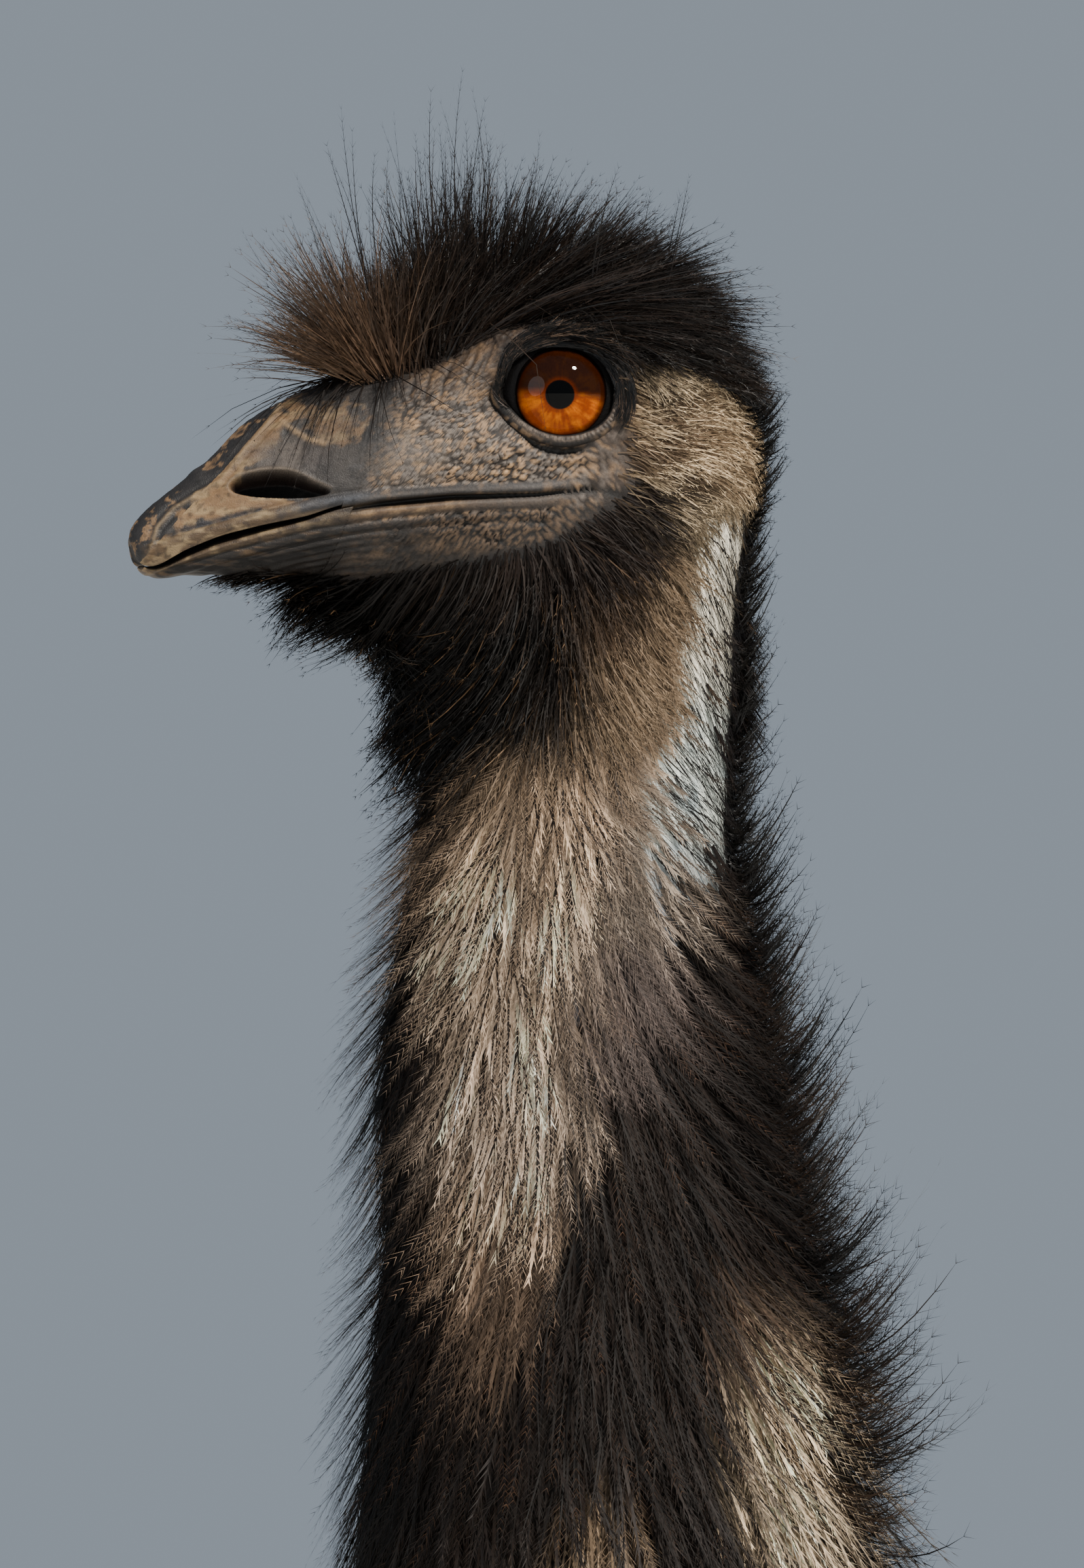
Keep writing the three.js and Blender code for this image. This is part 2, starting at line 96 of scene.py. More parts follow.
def noise(P, size, seed=0):
    """Smooth noise from 0 to 1 with features of about the given size."""
    q = P / size
    i = np.floor(q).astype(np.int64)
    f = q - i
    f = f * f * (3 - 2 * f)
    out = 0
    for dx in (0, 1):
        wx = f[..., 0] if dx else 1 - f[..., 0]
        for dy in (0, 1):
            wy = f[..., 1] if dy else 1 - f[..., 1]
            for dz in (0, 1):
                wz = f[..., 2] if dz else 1 - f[..., 2]
                out = out + wx * wy * wz * hash3(i[..., 0] + dx, i[..., 1] + dy, i[..., 2] + dz, seed)
    return out


def fbm(P, size, seed=0, octaves=3):
    out, amp, total = 0, 1.0, 0.0
    for k in range(octaves):
        out = out + amp * noise(P, size / 2**k, seed + k)
        total += amp
        amp *= 0.55
    return out / total


def cells(P, size, seed=0):
    """Distances to the nearest and second nearest of scattered points, and a number for the nearest one."""
    q = P / size
    i = np.floor(q).astype(np.int64)
    f1 = np.full(q.shape[:-1], 9.0)
    f2 = np.full(q.shape[:-1], 9.0)
    tag = np.zeros(q.shape[:-1])
    for dx in (-1, 0, 1):
        for dy in (-1, 0, 1):
            for dz in (-1, 0, 1):
                cx, cy, cz = i[..., 0] + dx, i[..., 1] + dy, i[..., 2] + dz
                jx, jy, jz = (hash3(cx, cy, cz, seed + s) for s in (1, 2, 3))
                d = np.sqrt((cx + jx - q[..., 0]) ** 2 + (cy + jy - q[..., 1]) ** 2 + (cz + jz - q[..., 2]) ** 2)
                nearer = d < f1
                f2 = np.where(nearer, f1, np.minimum(f2, d))
                tag = np.where(nearer, jx, tag)
                f1 = np.where(nearer, d, f1)
    return f1, f2, tag


def to_line(px, py, line):
    """Distance in pixels to a line through points, and how far along it the nearest place is, from 0 to 1."""
    line = np.array(line, float)
    seg = np.linalg.norm(np.diff(line, axis=0), axis=1)
    run = np.concatenate([[0], np.cumsum(seg)])
    best = np.full(np.shape(px), 1e9)
    along = np.zeros(np.shape(px))
    for k in range(len(seg)):
        a, d = line[k], line[k + 1] - line[k]
        u = np.clip(((px - a[0]) * d[0] + (py - a[1]) * d[1]) / (seg[k] ** 2), 0, 1)
        dist = np.hypot(px - a[0] - u * d[0], py - a[1] - u * d[1])
        nearer = dist < best
        along = np.where(nearer, (run[k] + u * seg[k]) / run[-1], along)
        best = np.where(nearer, dist, best)
    return best, along


def to_loop(px, py, loop):
    """Signed distance to a closed outline, below zero inside."""
    loop = [tuple(p) for p in loop]
    d, _ = to_line(px, py, loop + [loop[0]])
    inside = np.zeros(np.shape(px), bool)
    for (x0, y0), (x1, y1) in zip(loop, loop[1:] + [loop[0]]):
        crosses = (y0 > py) != (y1 > py)
        at = x0 + (py - y0) * (x1 - x0) / ((y1 - y0) if y1 != y0 else 1e-9)
        inside ^= crosses & (px < at)
    return np.where(inside, -d, d)


def round_loop(points, n):
    """A closed smooth curve through points, as n points."""
    p = np.array(points, float)
    m = len(p)
    t = np.linspace(0, m, n, endpoint=False)
    i = np.floor(t).astype(int)
    u = (t - i)[:, None]
    a, b, c, d = p[(i - 1) % m], p[i % m], p[(i + 1) % m], p[(i + 2) % m]
    return 0.5 * (2 * b + (c - a) * u + (2 * a - 5 * b + 4 * c - d) * u**2 + (3 * b - a - 3 * c + d) * u**3)


# ------------------------------------------------------------------ the body loft
# name, dorsal y z, ventral y z, half-width, share of the height where it is widest, roundness below and above that,
# share where the mouth runs, and the coat's depth at the back, at the throat or belly, and at the sides
STATIONS = [
    ("bill_tip", -117.4, 1618.6, -117.1, 1615.8, 1.4, 0.45, 2.0, 1.9, 0.1, 0, 0, 0),
    ("bill_nail", -116.3, 1622.0, -115.2, 1611.0, 4.2, 0.42, 2.2, 1.7, 0.1, 0, 0, 0),
    ("bill_hook", -112.3, 1626.4, -111.6, 1608.7, 6.5, 0.38, 2.3, 1.55, 0.13, 0, 0, 0),
    ("bill_front", -105.2, 1631.9, -105.2, 1608.8, 8.9, 0.34, 2.4, 1.5, 0.23, 0, 0, 0),
    ("bill_bump", -96.4, 1638.8, -98.8, 1609.2, 11.0, 0.33, 2.5, 1.5, 0.27, 0, 0, 0),
    ("bill_nostril", -87.7, 1647.4, -93.0, 1609.4, 13.0, 0.32, 2.6, 1.5, 0.26, 0, 0, 0),
    ("bill_mid", -78.0, 1653.6, -86.3, 1609.4, 14.9, 0.33, 2.6, 1.55, 0.27, 0, 0, 0),
    ("bill_rear", -66.4, 1658.2, -79.0, 1609.2, 17.2, 0.35, 2.5, 1.7, 0.288, 0, 0.4, 0),
    ("face_front", -52.6, 1661.9, -71.9, 1606.2, 20.2, 0.42, 2.4, 1.9, 0.345, 0, 2.5, 0),
    ("lore", -39.7, 1667.3, -63.3, 1592.7, 23.6, 0.55, 2.3, 2.0, 0.4, 0.2, 12, 0.1),
    ("brow_front", -25.8, 1675.0, -56.3, 1585.7, 26.6, 0.62, 2.2, 2.1, 0.4, 0.6, 17.5, 0.3),
    ("brow", -11.1, 1681.3, -50.7, 1579.6, 29.2, 0.68, 2.1, 2.2, 0.4, 1.2, 20, 0.6),
    ("eye", 3.7, 1684.1, -47.6, 1574.0, 30.8, 0.7, 2.1, 2.25, 0.4, 2.0, 21, 1.0),
    ("crown", 18.4, 1684.1, -46.5, 1568.2, 32.0, 0.7, 2.1, 2.25, 0.4, 2.8, 21, 1.7),
    ("crown_rear", 32.3, 1678.7, -46.1, 1562.9, 33.0, 0.67, 2.1, 2.2, 0.4, 3.4, 20.5, 2.4),
    ("occiput_top", 44.3, 1668.7, -46.1, 1558.2, 33.5, 0.62, 2.1, 2.1, 0.4, 4.2, 20, 3.0),
    ("occiput", 52.0, 1655.0, -46.1, 1553.6, 34.5, 0.58, 2.1, 2.1, 0.4, 5.4, 19, 3.6),
    ("occiput_low", 55.0, 1641.0, -46.5, 1548.9, 35.6, 0.55, 2.1, 2.1, 0.4, 7.0, 18, 4.2),
    ("nape_top", 53.9, 1626.1, -47.0, 1543.6, 36.6, 0.53, 2.1, 2.05, 0.4, 8.4, 17.5, 4.8),
    ("neck_a", 53.1, 1609.4, -48.3, 1536.6, 37.5, 0.52, 2.1, 2.0, 0.4, 9.3, 17, 5.4),
    ("neck_b", 53.5, 1589.2, -50.7, 1527.0, 39.0, 0.51, 2.1, 2.0, 0.4, 10.4, 17, 6.2),
    ("neck_c", 54.6, 1565.5, -54.1, 1512.9, 42.0, 0.5, 2.1, 2.0, 0.4, 12.5, 17, 7.4),
    ("neck_d", 58.7, 1535.7, -57.4, 1495.4, 46.0, 0.5, 2.1, 2.0, 0.4, 16, 16, 8.8),
    ("neck_e", 66.8, 1502.4, -59.4, 1474.3, 50.0, 0.5, 2.1, 2.0, 0.4, 20, 14.5, 10.2),
    ("neck_f", 76.6, 1469.1, -58.3, 1452.4, 54.0, 0.5, 2.1, 2.0, 0.4, 24, 14, 11.6),
    ("neck_g", 86.7, 1438.4, -56.1, 1428.7, 58.0, 0.5, 2.1, 2.0, 0.4, 28, 12, 13),
    ("neck_h", 95.9, 1409.4, -56.5, 1404.0, 63.0, 0.5, 2.1, 2.0, 0.4, 31, 9, 15),
    ("neck_i", 102.8, 1381.0, -60.0, 1374.0, 69.0, 0.5, 2.1, 2.0, 0.4, 33, 10, 17.5),
    ("neck_j", 109.0, 1350.0, -66.4, 1338.0, 77.0, 0.5, 2.1, 2.0, 0.4, 35, 15, 20.5),
    ("neck_root", 120.0, 1300.0, -80.0, 1262.0, 90.0, 0.5, 2.1, 2.0, 0.4, 38, 25, 25),
    ("shoulder", 140.0, 1238.0, -96.0, 1160.0, 112.0, 0.49, 2.1, 2.0, 0.4, 41, 35, 30),
    ("breast_top", 176.0, 1176.0, -106.0, 1052.0, 140.0, 0.48, 2.1, 2.0, 0.4, 44, 39, 35),
    ("breast", 236.0, 1118.0, -96.0, 938.0, 170.0, 0.47, 2.1, 1.95, 0.4, 47, 43, 40),
    ("breast_low", 318.0, 1092.0, -48.0, 826.0, 194.0, 0.46, 2.2, 1.9, 0.4, 50, 46, 45),
    ("back", 408.0, 1082.0, 44.0, 734.0, 208.0, 0.45, 2.3, 1.9, 0.4, 53, 48, 49),
    ("loin", 498.0, 1064.0, 158.0, 676.0, 212.0, 0.44, 2.3, 1.9, 0.4, 56, 50, 52),
    ("rump_top", 580.0, 1028.0, 290.0, 648.0, 204.0, 0.43, 2.3, 1.9, 0.4, 60, 54, 55),
    ("rump", 654.0, 974.0, 424.0, 640.0, 184.0, 0.42, 2.3, 1.9, 0.4, 66, 60, 58),
    ("tail_root", 712.0, 908.0, 546.0, 642.0, 154.0, 0.41, 2.3, 1.9, 0.4, 74, 70, 60),
    ("tail_mid", 754.0, 838.0, 646.0, 648.0, 114.0, 0.4, 2.2, 1.9, 0.4, 74, 74, 56),
    ("tail_low", 784.0, 776.0, 722.0, 656.0, 72.0, 0.4, 2.1, 1.9, 0.4, 60, 60, 44),
    ("tail_end", 798.0, 728.0, 772.0, 672.0, 34.0, 0.42, 2.0, 2.0, 0.4, 27, 27, 24),
    ("tail_tip", 803.0, 700.0, 798.0, 688.0, 8.0, 0.45, 2.0, 2.0, 0.4, 5, 5, 6),
]
TABLE = np.array([s[1:] for s in STATIONS], float)
LAST = len(STATIONS) - 1


def at(name):
    return [s[0] for s in STATIONS].index(name)


def through(values, t):
    """Values carried smoothly through evenly numbered stations, for arrays of station numbers."""
    n = len(values) - 1
    i = np.clip(np.floor(t).astype(int), 0, n - 1)
    u = (t - i)[..., None]
    b, c = values[i], values[i + 1]
    a = np.where((i > 0)[..., None], values[np.maximum(i - 1, 0)], 2 * b - c)
    d = np.where((i < n - 1)[..., None], values[np.minimum(i + 2, n)], 2 * c - b)
    return 0.5 * (2 * b + (c - a) * u + (2 * a - 5 * b + 4 * c - d) * u**2 + (3 * b - a - 3 * c + d) * u**3)


def power(v, p):
    return np.sign(v) * np.abs(v) ** p


def surface(t, a, depth=0.0, width=1.0):
    """A point of the loft at station t and angle a (0 is the belly, half a turn the back, the left side between). depth is 0 on
    the skin and 1 on the outside of the coat."""
    t, a, depth = np.broadcast_arrays(np.asarray(t, float), np.asarray(a, float), np.asarray(depth, float))
    v = through(TABLE, t)
    dy, dz, vy, vz, half, widest, below, above = (v[..., k] for k in range(8))
    cy, cz = dy - vy, dz - vz
    tall = np.hypot(cy, cz)
    cy, cz = cy / tall, cz / tall
    inset = 1 - depth
    top, bottom, side = v[..., 9] * inset, v[..., 10] * inset, v[..., 11] * inset
    c = -np.cos(a)
    n = np.where(c < 0, below, above)
    h = power(c, 2 / n)
    up = np.where(h < 0, widest * (1 + h), widest + (1 - widest) * h)
    run = bottom + (tall - top - bottom) * up
    x = np.maximum(half - side, 0.2) * width * power(np.sin(a), 2 / n)
    return np.stack([x, vy + cy * run, vz + cz * run], -1)


def frame_at(t, a, depth=0.0):
    """The loft's point, its two slopes and its outward normal."""
    et, ea = 0.02, 0.01
    p = surface(t, a, depth)
    pt = (surface(np.clip(t + et, 0, LAST), a, depth) - surface(np.clip(t - et, 0, LAST), a, depth)) / (2 * et)
    pa = (surface(t, a + ea, depth) - surface(t, a - ea, depth)) / (2 * ea)
    return p, pt, pa, unit(np.cross(pt, pa))


# ------------------------------------------------------------------ making meshes
def new_object(name, points, faces, smooth=True, colours=None, uv=None, values=None):
    """A mesh object from points in millimetres and an array of triangles or of quads."""
    faces = np.asarray(faces, np.int32)
    per = faces.shape[1]
    me = bpy.data.meshes.new(name)
    co = np.array(points, float).copy()
    co[:, 1] += FORE_AFT
    co *= 0.001
    me.vertices.add(len(co))
    me.vertices.foreach_set("co", co.astype(np.float32).ravel())
    me.loops.add(faces.size)
    me.loops.foreach_set("vertex_index", faces.ravel())
    me.polygons.add(len(faces))
    me.polygons.foreach_set("loop_start", np.arange(0, faces.size, per, dtype=np.int32))
    me.polygons.foreach_set("use_smooth", np.full(len(faces), smooth))
    if colours is not None:
        layer = me.color_attributes.new("tint", "FLOAT_COLOR", "POINT")
        rgba = np.ones((len(co), 4), np.float32)
        rgba[:, :3] = np.clip(colours, 0, 1)
        layer.data.foreach_set("color", rgba.ravel())
    for key, v in (values or {}).items():
        layer = me.attributes.new(key, "FLOAT", "POINT")
        layer.data.foreach_set("value", np.asarray(v, np.float32).ravel())
    if uv is not None:
        layer = me.uv_layers.new(name="OFBake")
        layer.uv.foreach_set("vector", np.asarray(uv, np.float32)[faces.ravel()].ravel())
    me.update(calc_edges=True)
    ob = bpy.data.objects.new(name, me)
    bpy.context.scene.collection.objects.link(ob)
    return ob


def grid(rows, cols, closed=False, start=0, flip=False):
    """Quads over rows of points."""
    i = np.arange(rows - 1)[:, None]
    j = np.arange(cols if closed else cols - 1)[None, :]
    k = (j + 1) % cols
    a, b, c, d = i * cols + j, i * cols + k, (i + 1) * cols + k, (i + 1) * cols + j
    q = np.stack([np.broadcast_to(v, (rows - 1, j.size)) for v in ((a, d, c, b) if flip else (a, b, c, d))], -1).reshape(-1, 4)
    return q + start


def grid_normals(P, closed):
    """Outward normals of a grid of points, rows along the body and columns round it."""
    if closed:
        e = np.concatenate([P[:, -1:], P, P[:, :1]], 1)
        da = e[:, 2:] - e[:, :-2]
    else:
        da = np.gradient(P, axis=1)
    dt = np.gradient(P, axis=0)
    return unit(np.cross(dt, da))


# ------------------------------------------------------------------ the face's details, as places in the picture
MOUTH = [(205, 832), (224, 824), (275, 807), (335, 790), (399, 773), (462, 757), (565, 742), (668, 733), (791, 729), (845, 723), (872, 719)]
GAPE_FOLD = [(868, 720), (884, 722), (906, 727), (925, 736)]
NOSTRIL = round_loop([(338, 716), (346, 706.5), (368, 698), (396, 693.5), (424, 694.5), (446, 703.5), (467, 714), (485, 724), (466, 729.5), (437, 732), (402, 731.5), (367, 729), (346, 724)], 52)
CULMEN_EDGE = [(412, 596), (403, 610), (391, 627), (360, 660), (325, 707), (290, 728), (255, 749), (231, 777), (219, 818)]
SIDE_RIDGE = [(414, 619), (430, 632), (455, 646), (478, 652)]
EYE = np.array([18.6, -6.9, 1656.3])
LOOK = np.array([COS, -SIN, 0.0])  # the way the left eye faces
LID = round_loop([(-14.8, -0.9), (-14.3, 2.6), (-11.6, 8.0), (-6.3, 10.9), (0.6, 11.5), (7.2, 10.0), (11.6, 6.2), (13.5, 0.8), (12.6, -4.9), (8.7, -9.0), (2.0, -10.9), (-3.8, -10.2), (-8.6, -7.7), (-12.2, -4.6)], 220)
LID_LIST = [tuple(p) for p in LID[::4]]


def eye_height(r):
    """How far the eye's surface stands out along its axis, at a distance from that axis."""
    r = np.abs(r)
    dome = 15.5 - (14.6 - np.sqrt(np.maximum(14.6**2 - np.minimum(r, 11.3) ** 2, 0)))
    edge = dome - np.maximum(r - 11.3, 0) * 0.62
    return edge - 0.25 * np.exp(-(((r - 11.9) / 0.7) ** 2))


def eye_plane(P):
    """Across, up and out from the middle of the eye, with the right side folded onto the left."""
    q = np.stack([np.abs(P[..., 0]), P[..., 1], P[..., 2]], -1) - EYE
    return q[..., 0] * SIN + q[..., 1] * COS, q[..., 2], q @ LOOK


SLATE = srgb(62, 57, 54)
SLATE_DARK = srgb(32, 29, 29)
SLATE_BLUE = srgb(76, 76, 80)
MUD = srgb(140, 108, 74)
MUD_PALE = srgb(166, 138, 100)
WART = srgb(146, 116, 86)
WART_GREY = srgb(112, 102, 94)
# painted shade: the near-black that fills the crevices between the face's warts
WART_GAP_SHADE = srgb(58, 46, 37)
FACE_DARK = srgb(34, 27, 23)


def above_mouth(px, py):
    """Millimetres above the mouth line, below zero under it, and how far along the mouth."""
    d, along = to_line(px, py, MOUTH)
    line = np.array(MOUTH, float)
    my = np.interp(px, line[:, 0], line[:, 1])
    return np.where(py < my, 1, -1) * d / PX, along


def lips(px, py, upper, e=None):
    """The rolled rim along both halves of the mouth, running on back over the face as lips."""
    if e is None:
        e, _ = above_mouth(px, py)
    fade = 1 - step(800, 880, px)
    tip = step(205, 235, px)
    if upper:
        top = 4.4 - 0.9 * step(560, 860, px)
        roll = 0.5 * np.exp(-(((e - top * 0.55) / (top * 0.36)) ** 2)) - 0.32 * np.exp(-(((e - top) / 0.55) ** 2))
    else:
        e = -e
        top = 3.9
        roll = 0.45 * np.exp(-(((e - 2.0) / 1.15) ** 2)) - 0.30 * np.exp(-(((e - top) / 0.5) ** 2)) + 0.28 * np.exp(-(((e - 5.2) / 0.9) ** 2)) - 0.22 * np.exp(-(((e - 6.7) / 0.6) ** 2))
        roll = roll + 0.2 * np.exp(-(((e - 8.3) / 0.8) ** 2)) * step(330, 480, px)
    return roll * fade * tip


def horn_relief(P, px, py, upper):
    """How far the bill's surface stands in or out of its loft."""
    e, _ = above_mouth(px, py)
    out = lips(px, py, upper, e)
    if upper:
        # nostril and the smooth hollow over it
        d = to_loop(px, py, [tuple(q) for q in NOSTRIL]) / PX
        hole = step(0.35, -0.75, d)
        long = np.clip((px - 338) / 147, 0, 1)
        out = out - hole * (3.6 + 4.6 * np.sin(np.pi * np.clip(long, 0, 1)) ** 0.7)
        rim = np.exp(-(((d - 0.75) / 0.55) ** 2)) * step(735, 705, py)
        out = out + 0.34 * rim * (d > -0.4)
        out = out - 0.75 * np.exp(-(((px - 420) / 70) ** 2 + ((py - 668) / 26) ** 2))
        # the edge of the culmen plate, a short ridge behind it, and the bump before it
        d1, u1 = to_line(px, py, CULMEN_EDGE)
        out = out + 0.34 * np.exp(-((d1 / PX / 0.62) ** 2)) - 0.2 * np.exp(-(((d1 / PX - 1.35) / 0.6) ** 2))
        d2, _ = to_line(px, py, SIDE_RIDGE)
        out = out + 0.26 * np.exp(-((d2 / PX / 0.55) ** 2))
        out = out - 0.35 * np.exp(-(((px - 424) / 8) ** 2 + ((py - 637) / 6) ** 2))
        out = out + 0.55 * np.exp(-(((px - 287) / 13) ** 2 + ((py - 694) / 11) ** 2))
        out = out - 0.3 * np.exp(-(((px - 318) / 22) ** 2 + ((py - 688) / 9) ** 2))
    else:
        # long shallow ridges
        wob = noise(P, 9.0, 5) * 1.2
        out = out + 0.14 * np.sin((e + wob) * 3.4) * step(-4.5, -7.5, e) * step(240, 330, px)
    # growth lines, dents and chips
    lines = fbm(P * np.array([1.0, 0.35, 1.6]), 1.5, 11, 3) - 0.5
    out = out + 0.22 * lines + 0.16 * (fbm(P, 3.8, 21, 2) - 0.5)
    return out


def horn_colour(P, px, py, upper):
    e, _ = above_mouth(px, py)
    n1 = fbm(P, 7.0, 31, 4)
    n2 = fbm(P, 2.2, 41, 4)
    streak = fbm(P * np.array([1.0, 0.22, 1.0]), 1.6, 51, 3)
    base = mix(SLATE, SLATE_DARK, step(0.35, 0.7, n1))
    base = mix(base, SLATE_BLUE, step(0.55, 0.75, n2) * 0.35)
    if upper:
        mud = step(0.40, 0.56, n1 * 0.55 + n2 * 0.45 + 0.08)
        # dried mud lies in a band under the culmen's edge and round the nostril
        d1, u1 = to_line(px, py, CULMEN_EDGE)
        under = ((px - 231) * (800 - 596) + (py - 800) * (412 - 231)) > 0
        band = np.exp(-((d1 / 34) ** 2)) * under
        flat = np.exp(-(((px - 318) / 44) ** 2 + ((py - 738) / 26) ** 2))
        low = np.exp(-(((px - 420) / 95) ** 2 + ((py - 742) / 12) ** 2))
        back = np.exp(-(((px - 500) / 48) ** 2 + ((py - 622) / 42) ** 2))
        tipm = np.exp(-(((px - 212) / 12) ** 2 + ((py - 810) / 18) ** 2))
        want = np.clip(0.95 * band + 1.05 * flat + 0.9 * low + 0.8 * back + 0.8 * tipm, 0, 1)
        w = step(0.36, 0.62, want * 0.75 + (n2 - 0.5) * 0.9 + (n1 - 0.5) * 0.5 + 0.05) * (1 - 0.5 * np.clip(back, 0, 1))
        base = mix(base, mix(MUD, MUD_PALE, step(0.45, 0.7, streak)), w * 0.9)
        fossa = np.exp(-(((px - 425) / 62) ** 2 + ((py - 668) / 24) ** 2))
        base = mix(base, mix(srgb(98, 88, 80), srgb(78, 70, 66), step(0.35, 0.65, n1)), np.clip(fossa * 1.3, 0, 1) * 0.88)
        # pale lines on the ridges, dark over the culmen
        line = np.exp(-((d1 / PX / 0.55) ** 2))
        base = mix(base, srgb(160, 134, 100), np.clip(line * (0.4 + n2), 0, 1) * 0.6)
        culmen = (~under) & (d1 > 2)
        base = mix(base, mix(SLATE_DARK, MUD, step(0.56, 0.66, n2)), culmen * step(2, 9, d1) * 0.85)
        d2, _ = to_line(px, py, SIDE_RIDGE)
        base = mix(base, srgb(182, 150, 112), np.exp(-((d2 / PX / 0.6) ** 2)) * 0.7)
        base = mix(base, srgb(36, 33, 32), np.exp(-(((px - 422) / 7) ** 2 + ((py - 635) / 5) ** 2)))
        # painted light round the nostril: a pale highlight on the rim above it, and painted shade darkening to near
        # black down inside the hole
        dn = to_loop(px, py, [tuple(q) for q in NOSTRIL]) / PX
        rim = np.exp(-(((dn - 0.7) / 0.5) ** 2)) * step(735, 705, py)
        base = mix(base, srgb(132, 114, 94), rim * 0.5)
        base = mix(base, srgb(40, 27, 22), step(0.25, -0.35, dn))
        base = mix(base, srgb(7, 5, 4), step(-0.5, -1.3, dn) * 0.96)
        # the rim of the mouth: muddy and worn in front, smooth slate behind, with a painted highlight along the crest
        # of the roll
        rimw = step(4.6, 3.8, e) * step(205, 230, px)
        worn = mix(srgb(92, 72, 50), srgb(156, 132, 98), step(0.4, 0.68, streak))
        # painted highlight: a pale bluish band along the crest of the rolled rim
        lip_slate_and_painted_light = mix(srgb(40, 38, 40), srgb(86, 88, 94), np.exp(-(((e - 2.6) / 0.8) ** 2)) * 0.8)
        lip_slate_and_painted_light = mix(lip_slate_and_painted_light, srgb(112, 90, 60), step(1.5, 0.3, e) * 0.6)
        rear = step(385, 455, px + (n2 - 0.5) * 60)
        base = mix(base, mix(worn, lip_slate_and_painted_light, rear), rimw * 0.92)
        base = mix(base, srgb(52, 50, 54), np.exp(-(((e - 4.9) / 0.7) ** 2)) * step(240, 280, px) * step(420, 360, px) * 0.8)
    else:
        ee = -e
        edge = step(3.9, 3.0, ee)
        worn = mix(srgb(84, 66, 46), srgb(150, 126, 92), step(0.42, 0.66, streak))
        long = fbm(P * np.array([1.0, 0.12, 1.5]), 1.3, 61, 3)
        body = mix(srgb(26, 20, 16), srgb(84, 64, 42), step(0.47, 0.7, long * 0.7 + n2 * 0.3))
        base = mix(body, worn, edge * (0.85 - 0.45 * step(0.45, 0.65, n2)))
        base = mix(base, srgb(40, 36, 34), step(380, 470, px + (n2 - 0.5) * 60) * edge * 0.6)
        # painted shade: the lower half of the lower bill, turned down from the light, is darkened
        base = mix(base, srgb(22, 17, 14), step(4.4, 8.0, ee + 1.2 * (n2 - 0.5)) * 0.6)
        base = mix(base, srgb(34, 27, 22), step(8.5, 12.0, ee) * 0.7)
        base = mix(base, srgb(168, 138, 100), np.exp(-(((px - 215) / 20) ** 2 + ((py - 838) / 9) ** 2)) * step(0.45, 0.6, n2) * 0.7)
    base = mix(base, srgb(20, 17, 16), step(0.66, 0.82, n2) * 0.4)
    base = mix(base, srgb(24, 20, 18), step(0.60, 0.72, fbm(P, 1.2, 65, 2)) * 0.45)
    return base * (0.6 if upper else 0.66)


def bare(px, py):
    """Where the face is bare and warty: 1 there, 0 under feathers."""
    front = step(528, 566, px + 0.25 * (py - 640))
    back = step(955, 905, px)
    top = step(0, 16, py - np.interp(px, [520, 600, 660, 710, 750, 775, 805, 860, 900, 960], [560, 543, 522, 496, 480, 474, 492, 512, 512, 560]))
    low = step(8, -8, py - np.interp(px, [520, 600, 700, 800, 870, 960], [850, 838, 822, 800, 760, 700]))
    return front * back * top * low


BROW_FOLDS = [[(706, 508), (694, 536), (676, 572)], [(732, 494), (718, 528), (704, 566)], [(756, 484), (744, 508), (732, 540)], [(672, 524), (656, 556), (646, 592)],
              [(640, 538), (628, 566), (626, 598)], [(612, 550), (604, 580), (612, 608)], [(586, 556), (588, 586), (598, 606)], [(690, 520), (672, 540), (660, 548)], [(716, 520), (700, 546), (690, 560)]]


